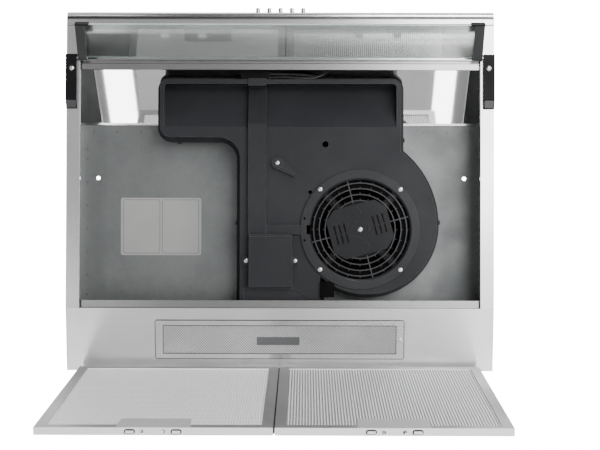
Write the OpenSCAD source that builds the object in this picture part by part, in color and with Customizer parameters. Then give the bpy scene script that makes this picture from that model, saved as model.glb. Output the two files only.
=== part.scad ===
// Slim range hood, seen as it hangs under a cabinet: +Z up, front towards -Y, wall behind.
// Millimetres. The origin is midway between the two cabinet screws, on top of the roof plate.
// Inside at_frame() a piece is placed from the hood's front edge (y) and its rim plane (z).

/* [Body] */
// Width over the side panels
body_w = 600; // [590:1:660]
// Depth from the front edge to the wall
body_d = 506; // [500:1:530]
// Height of the roof flanges above the rim
body_h = 95; // [94:1:100]
// Thickness of the steel sheet
sheet = 1; // [0.8:0.1:1.2]
// Radius of the rounded nose under the front edge
nose_r = 14; // [12:0.5:15]
// Height of the front face
front_h = 28; // [27:0.5:32]
// Slope of the front panel above the buttons
slope_angle = 24.8; // [23:0.2:26]
// Width of the rim flange along each side
rim_w = 19; // [17:0.5:20]
// Depth of the visor bay behind the nose
bay_d = 50; // [48:1:52]
// Width of the front filter rail
front_rail_w = 13.5; // [12:0.5:16]
// Height of the filter rails above the rim
rail_z = 10; // [10:0.5:11]
// Depth of the lamp panel
lamp_panel_d = 88.5; // [86:0.5:92]
// How far the lamp panel rises towards the wall
lamp_rise = 14; // [10:0.5:16]

/* [Mounting] */
// Distance of each cabinet screw from the side of the body
cabinet_in = 31.5; // [27.5:0.5:40]
// Cabinet screws behind the front edge
cabinet_y = 231; // [200:1:260]
// Diameter of the cabinet screw holes
cabinet_hole = 5.6; // [5:0.2:7]
// Distance between the two wall screws
wall_pitch = 400; // [300:5:480]
// Height of the wall screws above the rim
wall_z = 62; // [50:1:75]
// Diameter of the wall screw holes
wall_hole = 8; // [6:0.5:10]
// Outer diameter of the duct spigot
spigot_d = 119; // [100:1:120]
// Height of the duct spigot above its flange
spigot_h = 28; // [20:1:40]

/* [Visor] */
// Length of the arms from hinge pin to free end
arm_l = 52; // [50:0.5:56]
// Width of each arm
arm_w = 13; // [12:0.5:16]
// Thickness of each arm
arm_t = 8; // [7:0.5:9]
// Thickness of the glass
glass_t = 4; // [3:0.5:5]
// Angle of the visor below the rim as it rests
visor_open = 34.5; // [20:0.5:50]
// Diameter of the hinge pins
pin_d = 5; // [4:0.5:6]
// Width of the hinge brackets
bracket_w = 15.6; // [14:0.2:16]
// Length of the hinge brackets
bracket_l = 76; // [60:1:90]
// Height of the hinge brackets below the rim
bracket_t = 8.8; // [8.6:0.1:11]

/* [Blower] */
// Height of the casing floor above the rim
floor_z = 25; // [24.5:0.5:28]
// Height of the joint between the casing halves
split_z = 58; // [56:0.5:59]
// Wall thickness of the casing
casing_wall = 2.2; // [1.8:0.1:3]
// Half width of the front manifold
manifold_half = 171; // [165:1:180]
// Front edge of the manifold behind the front edge of the hood
manifold_y = 93.5; // [93:0.5:97]
// Depth of the front manifold
manifold_d = 82; // [78:1:88]
// Fold where the manifold floor starts to climb
fold_y = 161; // [158:0.5:164]
// Fan centre to the right of the hood centre
fan_x = 113.5; // [110:0.5:118]
// Fan centre ahead of the lamp panel
fan_back = 111; // [105.5:0.5:113.5]
// Radius of the air inlet
inlet_r = 73; // [70:0.5:75]
// Outer radius of the inlet ring
ring_r = 84.5; // [83:0.5:88]
// Radius of the ring screw circle
ring_screw_r = 80.5; // [79:0.5:81]
// Outer radius of the fan wheel
wheel_r = 72; // [66:0.5:74]
// Number of fan blades
blade_count = 36; // [24:1:44]
// Diameter of the motor shaft
shaft_d = 8; // [6:0.5:10]
// Diameter of the motor
motor_d = 84; // [76:1:88]
// Spindle centre to the right of the hood centre
spindle_x = -4; // [-6:0.5:-2]
// Spindle centre behind the front edge of the roof plate
spindle_back = 58.8; // [56.5:0.1:62]
// Length of the selector lever
lever_l = 30; // [26:1:36]

/* [Wiring] */
// Left edge of the wire duct
duct_x = -45.5; // [-48:0.5:-44]
// Width of the wire duct
duct_w = 25.5; // [22:0.5:28]
// How far the wire duct stands below the casing floor
duct_t = 6; // [5:0.5:7]
// Width of the junction box cover
box_w = 61; // [56:1:64]
// Length of the junction box cover
box_l = 74; // [66:1:80]
// Depth of the junction box cover
box_t = 13; // [12.5:0.5:14]
// Diameter of the harness cables
cable_d = 4.5; // [4:0.1:5]

/* [Controls] */
// Diameter of each push button
button_d = 6; // [5:0.5:7]
// Distance from one button to the next
button_pitch = 16; // [14:0.5:18]
// How far a button stands out of the front face
button_out = 7; // [6:0.5:9]
// Travel of a button
button_travel = 3; // [2:0.5:4]

/* [Lamp] */
// Length of the lamp frame
lamp_l = 348; // [330:1:360]
// Width of the lamp frame
lamp_w = 54; // [50:0.5:57]
// Width of the frame border round the lens
lamp_border = 10; // [8:0.5:11]
// Height of the lamp box
lamp_box_h = 46; // [42:1:50]

/* [Filters] */
// Length of each filter from hook edge to latch edge
filter_l = 336.5; // [330:0.5:337]
// Thickness of each filter
filter_t = 9.4; // [8.6:0.2:9.6]
// Width of the bars of the filter frame
filter_bar = 13; // [11:0.5:16]
// Angle through which a filter swings out
filter_open = 97; // [95:0.5:97.5]
// How far the latch tongues stand out
tongue_out = 2.8; // [2.5:0.1:3]

/* [Hidden] */
$fn = 64;

// Clearances
gap = 0.3;
run = 0.1;

// Body
half_w = body_w / 2;
roof_z = body_h - 2 * sheet;
flange_w = 18;
top_r = 6;
nose_end = nose_r + 4;
rail_y = nose_end + bay_d;
open_y = rail_y + front_rail_w;
lamp_y = body_d - lamp_panel_d;
lamp_angle = atan(lamp_rise / lamp_panel_d);
rear_rail_w = 10;
rear_rail_y = lamp_y - rear_rail_w - sheet;
hem_h = 8;
rail_lip = 6;
bay_top_z = 40;
bay_rise_d = 42;

// Height of the front panel's slope, g in from its outer face
function slope_z(y, g) =
    front_h - top_r + ((top_r - g) + (y - top_r) * sin(slope_angle)) / cos(slope_angle);
function slope_y(z, g) =
    top_r + ((z - front_h + top_r) * cos(slope_angle) - (top_r - g)) / sin(slope_angle);

plate_y = slope_y(body_h, 0) + 4;
cabinet_pitch = body_w - 2 * cabinet_in;

// Visor
pin_y = rail_y - 1.5;
pin_z = -arm_t / 2 - 0.6;
arm_gap = 1.6;
arm_x = half_w - bracket_w - arm_gap - arm_w;
glass_grip = 3;
pin_cover = 4;
pin_stop = glass_grip + 3;
glass_short = 0.5;
glass_l = arm_l - glass_short;
bracket_y = pin_y - 4.6;
bracket_screw_y = bracket_y + 19.5;

// Screws
screw_head_r = 3.4;
screw_head_h = 2;
casing_head_r = 3;
screw_r = 1.5;
screw_l = 8;

// Casing
fan_y = lamp_y - fan_back;
spindle_y = plate_y + spindle_back;
floor_top = floor_z + casing_wall;
lip_w = 6;
neck_x = -57;
neck_end = body_d - 91;
corner_r = 11;
inside_r = 31;
scroll_x = fan_x + 10;
scroll_y = fan_y - 6.5;
scroll_r = 98.5;
wide_r = 132;
flange_out = 6;
flange_t = 2.5;
tongue_r = 91;
roof_in = roof_z - casing_wall;
neck_rear_x = 57;
climb_z = split_z - casing_wall - 1;
pocket_t = 0.9;
pocket_x = 19;
shoulder = 20;
clip_w = 6;
clip_t = 3.4;

// Fan
ring_t = 3.5;
ring_z = floor_z - ring_t;
wheel_z = 33;
wheel_gap = 7.8;
wheel_h = roof_in - wheel_gap - wheel_z;
hub_h = 9;
motor_gap = 3.5;
blade_w = 13;
motor_r = motor_d / 2;
motor_z = 24.5;
motor_h = wheel_z + wheel_h - hub_h - motor_gap - motor_z;
plate_l = 88;
plate_w = 72;
plate_cut = 14;
spoke_in = 38;
arm_pitch = 45;
plate_turn = -15;

// Outlet
spigot_r = spigot_d / 2;
spigot_wall = 2;
pad_r = spigot_r + 1.2;
collar_r = spigot_r + 9;
outlet_r = spigot_r - spigot_wall;
collar_z = roof_z + sheet;
collar_t = 2.5;
flap_z = collar_z + 14;
flap_rod_r = 1.2;
shutter_t = 1.6;
shutter_gap = 0.5;
shutter_r = min(outlet_r - 4, spindle_x - neck_x - casing_wall - shutter_gap);
hub_r = 10;
lever_angle = 34;

// Wiring
duct_wall = 1.5;
box_x = -44;
box_y = fan_y + 7.5;
box_z = floor_z - box_t;
box_tab = 8;
branch_y = fan_y - 6;
branch_w = 13;
pocket_y = box_y + box_l + 2;
plug_d = 13.5;
plug_y = manifold_y - plug_d;
plug_end = -16;
plug_z = 34;

// Controls
button_z = (nose_r + front_h - top_r) / 2;
block_l = 16;
block_y = sheet + 1.4;
block_z0 = 10;
block_z1 = 24;

// Lamp, in the lamp panel's own plane
lamp_s = 17.5;
frame_t = 1.5;
lens_t = 2.4;
lamp_box_wall = 0.8;
bulb_n = 22;
bulb_r = 14;
bulb_l = 50;
bulb_seat = 34;

// Filters, closed
filter_z = gap;
filter_w = half_w - rim_w - 3;
filter_end = rear_rail_y + 1.3;
filter_front = filter_end - filter_l;
swing_y = lamp_y + 41;
swing_z = 44.1;
filter_skin = 1.2;
mesh_t = 0.8;
latch_w = 87;
latch_d = 41;
latch_gap = 54;
latch_screw_x = 12.1;
latch_travel = 4;
tongue_w = 9.5;
slide_t = 3;

// Cable routes, chosen by hand, from the connector to the switch block
cable_a = [
    [-16, 84.3, 41], [-8, 84.3, 41], [0, 84.3, 41.5], [8, 84.3, 42], [16, 84.3, 42],
    [24, 84.8, 42], [32, 85.3, 42], [40, 86.3, 42], [47, 87.3, 42.5], [53, 88.3, 43],
    [58, 86.9, 44], [62, 84, 45.5], [64, 80, 47], [64.5, 74.5, 48], [64, 68, 48], [63, 60, 46.5],
    [61, 51, 42.5], [59, 42, 37], [57, 34, 31], [55.5, 27, 25], [54, 21, 21], [52, 17, 19],
    [49, 15.5, 18], [46, 15.5, 18]
];
cable_b = [
    [-16, 89.8, 37], [-9, 89.8, 37], [-2, 89.3, 36.5], [5, 88.8, 36], [12, 89.3, 35.5],
    [19, 90.3, 35], [26, 90.6, 34.5], [33, 90.7, 34.5], [40, 90.6, 35], [47, 90.3, 36],
    [53, 88.6, 37], [59, 86.2, 38], [65, 82.3, 40], [69, 76.9, 43], [70.5, 71.4, 45],
    [71, 65, 45.5], [70.5, 58, 44.5], [69, 50, 41], [67, 42, 35.5], [64.5, 34, 29],
    [61.5, 27, 23], [58.5, 21, 17.5], [55.5, 15, 14.5], [52.5, 11, 13.5], [49.5, 9.5, 13.5],
    [46, 9.5, 13.5]
];

// Puts a piece that is placed from the front edge and the rim into the part's own frame
module at_frame() {
    translate([0, -cabinet_y, -(roof_z + sheet)]) children();
}

// A side outline (y, z) drawn out along X from x0 to x1
module along_x(x0, x1) {
    translate([x0, 0, 0]) rotate([90, 0, 90]) linear_extrude(x1 - x0) children();
}

module slab(x0, x1, y0, y1, z0, z1) {
    translate([x0, y0, z0]) cube([x1 - x0, y1 - y0, z1 - z0]);
}

// Upright cylinder from z0 to z1
module post(x, y, r, z0, z1) {
    translate([x, y, z0]) cylinder(h = z1 - z0, r = r);
}

// Pan-head screw with its head below and its shank going up
module pan_screw(x, y, z, l = screw_l, head = screw_head_r, shank = screw_r) {
    translate([x, y, z]) {
        difference() {
            intersection() {
                translate([0, 0, -screw_head_h]) cylinder(h = screw_head_h, r = head);
                translate([0, 0, 3.2 - 0.2]) sphere(r = 5.2);
            }
            for (a = [0, 90])
                rotate([0, 0, a]) translate([-1.6, -0.3, -screw_head_h - 1]) cube([3.2, 0.6, 2]);
        }
        cylinder(h = l, r = shank);
    }
}

// Points of an arc round c from angle a0 to a1
function arc(c, r, a0, a1, n) =
    [for (i = [0:n]) let (a = a0 + (a1 - a0) * i / n) c + r * [cos(a), sin(a)]];

// Closed outline of the body seen from the side, g in from its outer faces
module body_outline(g) {
    polygon(concat(
        arc([nose_r, nose_r], nose_r - g, 270, 180, 12),
        arc([top_r, front_h - top_r], top_r - g, 180, 90 + slope_angle, 6),
        [
            [slope_y(body_h - g, g), body_h - g], [body_d - g, body_h - g],
            [body_d - g, lamp_rise + g], [lamp_y, g]
        ]
    ));
}

module front_panel() {
    slot_w = 36;
    slot_h = 4;
    color([0.78, 0.78, 0.77]) at_frame() difference() {
        along_x(sheet - half_w, half_w - sheet) intersection() {
            difference() {
                body_outline(0);
                body_outline(sheet);
            }
            polygon([
                [-1, -1], [nose_end, -1], [nose_end, 8],
                [plate_y + flange_w, slope_z(plate_y, 0) - 15],
                [plate_y + flange_w, body_h + 1], [-1, body_h + 1]
            ]);
        }
        for (row = [0:3], col = [-3:3])
            translate([col * 45 - slot_w / 2, manifold_y + 14 + row * 9, front_h])
                cube([slot_w, slot_h, body_h]);
        for (i = [-2:2])
            translate([i * button_pitch, -1, button_z])
                rotate([-90, 0, 0]) cylinder(h = nose_r, r = button_d / 2 + gap);
        post(spindle_x, spindle_y, pad_r + gap, roof_z, body_h + 1);
    }
}

module visor_bay_panel() {
    top_y = nose_end + bay_rise_d;
    color([0.75, 0.75, 0.75]) at_frame() along_x(sheet - half_w, half_w - sheet) polygon([
        [nose_end, 0], [nose_end, sheet], [top_y, bay_top_z], [rail_y + sheet, bay_top_z],
        [rail_y + sheet, rail_z + sheet], [rail_y, rail_z + sheet],
        [rail_y, bay_top_z - sheet], [top_y + 0.6, bay_top_z - sheet], [nose_end + 1.4, 0]
    ]);
}

// Left side panel: wall, rim flange with its upturned hem, and roof flange
module side_panel() {
    inner = sheet - half_w;
    along_x(-half_w, inner) body_outline(0);
    slab(inner, rim_w - half_w, nose_end + sheet + 2, lamp_y, 0, sheet);
    slab(rim_w - half_w - sheet, rim_w - half_w, open_y + gap, rear_rail_y - gap, sheet, hem_h);
    slab(inner, inner + flange_w, plate_y + flange_w + gap, body_d - flange_w,
        body_h - sheet, body_h);
}

module left_side_panel() {
    color([0.72, 0.72, 0.72]) at_frame() difference() {
        side_panel();
        post(-(half_w - bracket_w / 2 - gap), bracket_screw_y, screw_r + run, -1, sheet + 1);
    }
}

module right_side_panel() {
    color([0.82, 0.82, 0.82]) mirror([1, 0, 0]) at_frame() difference() {
        side_panel();
        post(-(half_w - bracket_w / 2 - gap), bracket_screw_y, screw_r + run, -1, sheet + 1);
    }
}

module rear_panel() {
    in = half_w - sheet;
    color([0.6, 0.62, 0.62]) at_frame() difference() {
        union() {
            slab(-in, in, body_d - sheet, body_d, lamp_rise + sheet, body_h);
            slab(-in, in, body_d - flange_w + gap, body_d - sheet, body_h - sheet, body_h);
            slab(-in, in, body_d - flange_w, body_d - sheet, lamp_rise + sheet,
                lamp_rise + 2 * sheet);
        }
        for (s = [-1, 1])
            translate([s * wall_pitch / 2, body_d + 1, wall_z])
                rotate([90, 0, 0]) cylinder(h = sheet + 2, r = wall_hole / 2);
    }
}

// Places a piece in the lamp panel's plane: y from its front edge, z in from its outer face
module on_lamp_panel() {
    translate([0, lamp_y, 0]) rotate([lamp_angle, 0, 0]) children();
}

module lamp_panel() {
    in = half_w - sheet;
    color([0.74, 0.74, 0.74]) at_frame() difference() {
        along_x(-in, in) polygon([
            [lamp_y, 0], [body_d, lamp_rise], [body_d, lamp_rise + sheet],
            [lamp_y + sheet, sheet], [lamp_y + sheet, rail_z + rail_lip],
            [lamp_y, rail_z + rail_lip]
        ]);
        on_lamp_panel() {
            slab(-lamp_l / 2 + 5, lamp_l / 2 - 5, lamp_s + 5, lamp_s + lamp_w - 5, -5, 8);
            post(lamp_l / 2 - 5, lamp_s + lamp_w / 2, 1.2 + run, -5, 8);
        }
    }
}

module roof_plate() {
    in = half_w - sheet;
    color([0.6, 0.63, 0.63]) at_frame() difference() {
        slab(-in, in, plate_y, body_d - sheet, roof_z, roof_z + sheet);
        for (s = [-1, 1])
            post(s * cabinet_pitch / 2, cabinet_y, cabinet_hole / 2, roof_z - 1, body_h);
        post(spindle_x, spindle_y, outlet_r, roof_z - 1, body_h);
        post(gland_x, gland_y, gland_r + run, roof_z - 1, body_h);
    }
}

gland_x = -180;
gland_y = body_d - 40;
gland_r = 7;

module mains_gland() {
    color([0.12, 0.12, 0.13]) at_frame() difference() {
        union() {
            post(gland_x, gland_y, gland_r, roof_z - 3, collar_z + 8);
            post(gland_x, gland_y, gland_r + 3, collar_z, collar_z + 3);
            post(gland_x, gland_y, gland_r + 3, roof_z - 3, roof_z);
        }
        post(gland_x, gland_y, 3.6, roof_z - 5, collar_z + 10);
    }
}

module front_rail() {
    in = half_w - sheet;
    color([0.7, 0.7, 0.7]) at_frame() difference() {
        union() {
            slab(-in, in, rail_y, open_y, rail_z, rail_z + sheet);
            slab(-in, in, open_y - sheet, open_y, rail_z + sheet, rail_z + rail_lip);
            slab(rim_w - half_w + gap, half_w - rim_w - gap, rail_y, rail_y + sheet, 1.4, rail_z);
        }
        for (side = [-1, 1], t = [-1, 1])
            slab(latch_x(side) + t * latch_gap / 2 - tongue_w / 2 - 1,
                latch_x(side) + t * latch_gap / 2 + tongue_w / 2 + 1,
                rail_y - 1, rail_y + sheet + 1, 2.2, 7.6);
    }
}

module rear_rail() {
    in = half_w - sheet;
    color([0.7, 0.7, 0.7]) at_frame() {
        slab(-in, in, rear_rail_y, lamp_y, rail_z, rail_z + sheet);
        slab(-in, in, rear_rail_y, rear_rail_y + sheet, rail_z + sheet, rail_z + rail_lip);
    }
}

// Every fixed pan-head screw that shows from below
module pan_screws() {
    color([0.85, 0.85, 0.83]) at_frame() {
        for (s = [-1, 1])
            pan_screw(s * (half_w - bracket_w / 2 - gap), bracket_screw_y, -bracket_t + 1.4, 11);
        for (k = [0:3])
            pan_screw(fan_x + ring_screw_r * cos(arm_pitch + 90 * k),
                fan_y + ring_screw_r * sin(arm_pitch + 90 * k), ring_z, 8, casing_head_r);
        for (x = [box_x - box_tab / 2, box_x + box_w + box_tab / 2])
            pan_screw(x, box_y + box_l / 2, floor_z - 3, 4.6, casing_head_r);
        pan_screw(fan_x, fan_y, motor_z - 3, 8);
        on_lamp_panel() pan_screw(lamp_l / 2 - 5, lamp_s + lamp_w / 2, -frame_t, 5, 2.6, 1.2);
    }
}

// Hinge bracket on the left rim flange
module bracket() {
    x0 = -half_w;
    cut = 13;
    difference() {
        along_x(x0, x0 + bracket_w) polygon([
            [bracket_y, 0], [bracket_y, -bracket_t + 1], [bracket_y + 1, -bracket_t],
            [bracket_y + bracket_l - cut, -bracket_t], [bracket_y + bracket_l, -3],
            [bracket_y + bracket_l, 0]
        ]);
        translate([x0 + pin_cover, pin_y, pin_z]) rotate([0, 90, 0])
            cylinder(h = bracket_w, r = pin_d / 2 + run);
        post(x0 + bracket_w / 2 + gap, bracket_screw_y, screw_r + run, -bracket_t - 1, 1);
        post(x0 + bracket_w / 2 + gap, bracket_screw_y, screw_head_r + gap,
            -bracket_t - 1, -bracket_t + 1.4);
    }
}

module visor_bracket_left() {
    color([0.15, 0.15, 0.16]) at_frame() bracket();
}

module visor_bracket_right() {
    color([0.15, 0.15, 0.16]) mirror([1, 0, 0]) at_frame() bracket();
}

// Turns the closed visor down about its pins to where it rests
module visor_at_rest() {
    translate([0, pin_y, pin_z]) rotate([visor_open, 0, 0]) children();
}

module visor_glass() {
    w = arm_x + glass_grip;
    color([0.75, 0.85, 0.82, 0.5]) at_frame() visor_at_rest()
        slab(-w, w, -glass_l, -1, -glass_t / 2, glass_t / 2);
}

module visor_arm() {
    h = arm_t / 2;
    difference() {
        union() {
            slab(-arm_x - arm_w, -arm_x, -arm_l, 0, -h, h);
            translate([-arm_x - arm_w, 0, 0]) rotate([0, 90, 0]) cylinder(h = arm_w, r = h);
        }
        slab(-arm_x - glass_grip - run, -arm_x + 1, -arm_l - 1, 0,
            -glass_t / 2 - run, glass_t / 2 + run);
        translate([-arm_x - arm_w - 1, 0, 0]) rotate([0, 90, 0])
            cylinder(h = arm_w + 1 - pin_stop, r = pin_d / 2 + run);
    }
}

module visor_arm_left() {
    color([0.3, 0.3, 0.31]) at_frame() visor_at_rest() visor_arm();
}

module visor_arm_right() {
    color([0.3, 0.3, 0.31]) at_frame() visor_at_rest() mirror([1, 0, 0]) visor_arm();
}

module visor_pins() {
    color([0.5, 0.5, 0.5]) at_frame() visor_at_rest() for (s = [0, 1]) mirror([s, 0, 0])
        translate([-half_w + pin_cover + gap, 0, 0]) rotate([0, 90, 0])
            cylinder(h = half_w - pin_cover - arm_x - pin_stop - 2 * gap, r = pin_d / 2);
}

// Plan of the casing, g out from its own walls
module casing_plan(g) {
    x = manifold_half + g;
    y0 = manifold_y - g;
    y1 = manifold_y + manifold_d + g;
    rf = corner_r + g;
    rb = 15 + g;
    // Front manifold with rounded corners
    translate([-x + rf, y0]) square([2 * x - 2 * rf, 2 * rf]);
    translate([-x, y0 + rf]) square([2 * x, y1 - rb - y0 - rf]);
    for (s = [-1, 1]) translate([s * (x - rf), y0 + rf]) circle(rf);
    translate([-x + rb, y0 + rf]) square([2 * x - rb, y1 - y0 - rf]);
    translate([-x + rb, y1 - rb]) circle(rb);
    // Left inner corner and neck
    difference() {
        translate([neck_x - g - inside_r, y1 - 20]) square([inside_r + 60, inside_r + 20]);
        translate([neck_x - inside_r, manifold_y + manifold_d + inside_r]) circle(inside_r - g);
    }
    translate([neck_x - g, y1 - 5]) square([neck_rear_x - neck_x + 2 * g, neck_end + g - y1 + 5]);
    // Right shoulder and scroll
    translate([neck_rear_x, y1 - 30]) square([x - neck_rear_x, 30 + shoulder]);
    translate([scroll_x, scroll_y]) circle(scroll_r + g);
    intersection() {
        translate([scroll_x + scroll_r - wide_r, scroll_y]) circle(wide_r + g);
        translate([neck_rear_x, y1 - 40]) square([250, scroll_y - y1 + 40]);
    }
}

// Side outline of the room above the casing floor, which climbs to the front
module casing_room(rise) {
    polygon([
        [fold_y, floor_z + rise], [neck_end + 10, floor_z + rise], [neck_end + 10, body_h],
        [manifold_y - 20, body_h], [manifold_y - 20, climb_z + rise],
        [manifold_y + lip_w, climb_z + rise]
    ]);
}

// Wall of the scroll between fan and neck
module scroll_wall(z0, z1) {
    translate([fan_x, fan_y, z0]) linear_extrude(z1 - z0) difference() {
        circle(tongue_r + casing_wall);
        circle(tongue_r);
        polygon([[0, 0], 300 * [cos(130), sin(130)], [300, 300], [300, -300],
            300 * [cos(240), sin(240)]]);
        // Room for the shutter
        translate([spindle_x - fan_x, spindle_y - fan_y]) circle(shutter_r + 1);
    }
}

module lower_casing() {
    top = split_z;
    color([0.21, 0.21, 0.23]) at_frame() difference() {
        union() {
            difference() {
                union() {
                    translate([0, 0, floor_z]) linear_extrude(top - floor_z) casing_plan(0);
                    translate([0, 0, top - flange_t]) linear_extrude(flange_t)
                        casing_plan(flange_out);
                }
                // Room above the floor
                intersection() {
                    translate([0, 0, floor_z]) linear_extrude(top) casing_plan(-casing_wall);
                    along_x(-250, 250) casing_room(casing_wall);
                }
                // Recess below the climbing floor
                difference() {
                    intersection() {
                        slab(-manifold_half + lip_w, manifold_half - lip_w,
                            manifold_y + lip_w, fold_y, floor_z - 1, top + 1);
                        translate([0, 0, floor_z - 1]) linear_extrude(top) casing_plan(-lip_w);
                    }
                    along_x(-250, 250) casing_room(0);
                }
            }
            scroll_wall(floor_top, top);
            post(spindle_x, spindle_y, 8, floor_z, floor_z + 6);
        }
        post(fan_x, fan_y, inlet_r, floor_z - 1, top);
        post(spindle_x, spindle_y, 4 + run, floor_z - 1, top);
        for (k = [0:3])
            post(fan_x + ring_screw_r * cos(arm_pitch + 90 * k),
                fan_y + ring_screw_r * sin(arm_pitch + 90 * k), screw_r + run, floor_z - 1, top);
        for (x = [box_x - box_tab / 2, box_x + box_w + box_tab / 2])
            post(x, box_y + box_l / 2, screw_r + run, floor_z - 1, top);
        // Wire notch and wire holes, as in the inlet ring
        slab(fan_x - inlet_r - 3, fan_x - 60, branch_y, branch_y + branch_w,
            floor_z - 1, floor_top + 1);
        wire_holes(floor_z - 1, floor_top + 1);
        // Shallow pocket behind the junction box cover
        translate([0, 0, floor_z - 1]) linear_extrude(1 + pocket_t) polygon([
            [neck_x + lip_w, pocket_y], [pocket_x, pocket_y],
            [pocket_x + 34, neck_end - lip_w], [neck_x + lip_w, neck_end - lip_w]
        ]);
        // Lightening and mould holes beside the ring
        post(64, fan_y - 121, 4.6, floor_z - 1, floor_z + 6);
        post(fan_x - 71, fan_y - 53, 3, floor_z - 1, floor_z + 6);
    }
}

// Two opposite quarter windows, or the two quarters of the shutter
module quarters(r0, r1, turn, trim) {
    difference() {
        circle(r1);
        circle(r0);
        for (a = [turn, turn + 180]) rotate(a) polygon([[0, 0], [200, 0], [0, 200]]);
        for (a = [turn, turn + 90]) rotate(a) square([300, 2 * trim], center = true);
    }
}

module upper_casing() {
    mouth_y0 = manifold_y + 10;
    mouth_y1 = manifold_y + 46;
    color([0.19, 0.19, 0.21]) at_frame() difference() {
        union() {
            intersection() {
                difference() {
                    union() {
                        translate([0, 0, split_z]) linear_extrude(roof_z - split_z)
                            casing_plan(0);
                        translate([0, 0, split_z]) linear_extrude(flange_t)
                            casing_plan(flange_out);
                    }
                    intersection() {
                        translate([0, 0, split_z - 1]) linear_extrude(roof_in - split_z + 1)
                            casing_plan(-casing_wall);
                        along_x(-250, 250) body_outline(sheet + casing_wall + gap);
                    }
                }
                along_x(-250, 250) body_outline(sheet + gap);
            }
            scroll_wall(split_z, roof_in);
        }
        slab(-manifold_half + 12, manifold_half - 12, mouth_y0, mouth_y1, split_z + 1, roof_z + 1);
        translate([spindle_x, spindle_y, roof_in - 1]) linear_extrude(casing_wall + 2)
            quarters(hub_r, shutter_r - 2, 0, 2);
    }
}

module casing_clips() {
    h = 2 * flange_t;
    color([0.16, 0.16, 0.17]) at_frame() for (p = [
        [-146, manifold_y + manifold_d + flange_out, 0],
        [neck_x - flange_out, fan_y - 9, 90],
        [scroll_x + scroll_r + flange_out, scroll_y - 4, -90],
        [manifold_half + flange_out, manifold_y + manifold_d + 2, -90]
    ])
        translate([p[0], p[1], split_z]) rotate([0, 0, p[2]])
            difference() {
                cube([clip_w, clip_t, h + 3], center = true);
                translate([-5, -10, -h / 2 - run]) cube([10, 10 + gap, h + 2 * run]);
            }
}

module inlet_ring() {
    color([0.22, 0.22, 0.24]) at_frame() difference() {
        union() {
            post(fan_x, fan_y, ring_r, ring_z, floor_z);
            post(fan_x, fan_y, inlet_r - gap, floor_z, floor_top);
        }
        post(fan_x, fan_y, inlet_r - 2.4, ring_z - 1, floor_z + 5);
        translate([fan_x, fan_y, ring_z - 0.01])
            cylinder(h = 2.4, r1 = inlet_r, r2 = inlet_r - 2.4);
        for (k = [0:3])
            post(fan_x + ring_screw_r * cos(arm_pitch + 90 * k),
                fan_y + ring_screw_r * sin(arm_pitch + 90 * k), screw_r + run, ring_z - 1,
                floor_z + 1);
        // Wire notch on the side of the junction box
        slab(fan_x - inlet_r - 4, fan_x - 60, branch_y, branch_y + branch_w, ring_z - 1, floor_z + 5);
        wire_holes(ring_z - 1, floor_z + 1);
    }
}

module wire_holes(z0, z1) {
    for (s = [-1, 1])
        post(fan_x - ring_r + 5.5, fan_y + s * (branch_w / 2 + 9), 1.6, z0, z1);
}

grille_z = floor_z - 2;
grille_t = 2.4;

module inlet_grille() {
    color([0.24, 0.24, 0.25]) at_frame() translate([fan_x, fan_y, grille_z]) {
        difference() {
            union() {
                for (in = [7, 15, 23.3, 31.8]) let (r = inlet_r - in) difference() {
                    cylinder(h = grille_t, r = r + 0.8);
                    translate([0, 0, -1]) cylinder(h = grille_t + 2, r = r - 0.8);
                }
                for (k = [0:3]) rotate([0, 0, plate_turn + 90 * k])
                    translate([spoke_in, -0.8, 0]) cube([inlet_r - 2.42 - spoke_in, 1.6, grille_t]);
            }
            rotate([0, 0, plate_turn]) translate([0, 0, -1])
                linear_extrude(grille_t + 2) motor_plan(run);
        }
    }
}

// Plan of the motor plate, g out from its edge
module motor_plan(g) {
    a = plate_l / 2 + g;
    b = plate_w / 2 + g;
    c = plate_cut;
    polygon([
        [-a + c, -b], [a - c, -b], [a, -b + c], [a, b - c],
        [a - c, b], [-a + c, b], [-a, b - c], [-a, -b + c]
    ]);
}

module motor_plate() {
    t = 3;
    slot_p = 7.1;
    slot = 2.6;
    color([0.2, 0.2, 0.22]) at_frame() translate([fan_x, fan_y, motor_z - t])
        rotate([0, 0, plate_turn]) difference() {
            union() {
                linear_extrude(t) motor_plan(0);
                for (s = [-1, 1])
                    translate([0, s * 25, -0.6]) cylinder(h = 1, r = 7);
                for (a = [0, 120, 240]) rotate([0, 0, a]) translate([11, -5, -0.8])
                    cube([2.4, 10, 1]);
            }
            for (s = [-1, 1], i = [-1:1], j = [0, 1])
                translate([s * 28 + i * slot_p - slot / 2, -14 + 14.6 * j, -2])
                    cube([slot, 13, t + 4]);
            translate([0, 0, -2]) cylinder(h = t + 4, r = screw_r + run);
        }
}

module motor() {
    color([0.45, 0.46, 0.47]) at_frame() difference() {
        union() {
            post(fan_x, fan_y, motor_r - 5, motor_z, motor_z + 3);
            post(fan_x, fan_y, motor_r, motor_z + 3, motor_z + motor_h - 6);
            post(fan_x, fan_y, motor_r - 5, motor_z + motor_h - 6, motor_z + motor_h);
            for (k = [0:3]) translate([fan_x, fan_y, floor_top])
                rotate([0, 0, arm_pitch + 90 * k])
                    translate([motor_r - 3, -5, 0]) cube([ring_r - motor_r + 2, 10, 3]);
        }
        for (k = [0:3])
            post(fan_x + ring_screw_r * cos(arm_pitch + 90 * k),
                fan_y + ring_screw_r * sin(arm_pitch + 90 * k), screw_r + run, floor_z, floor_top + 5);
        post(fan_x, fan_y, screw_r + run, motor_z - 1, motor_z + 8);
        post(fan_x, fan_y, shaft_d / 2 + run, motor_z + 10, motor_z + motor_h + 1);
    }
}

module motor_shaft() {
    color([0.7, 0.7, 0.72]) at_frame()
        post(fan_x, fan_y, shaft_d / 2, motor_z + 11, wheel_z + wheel_h + 2);
}

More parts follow.
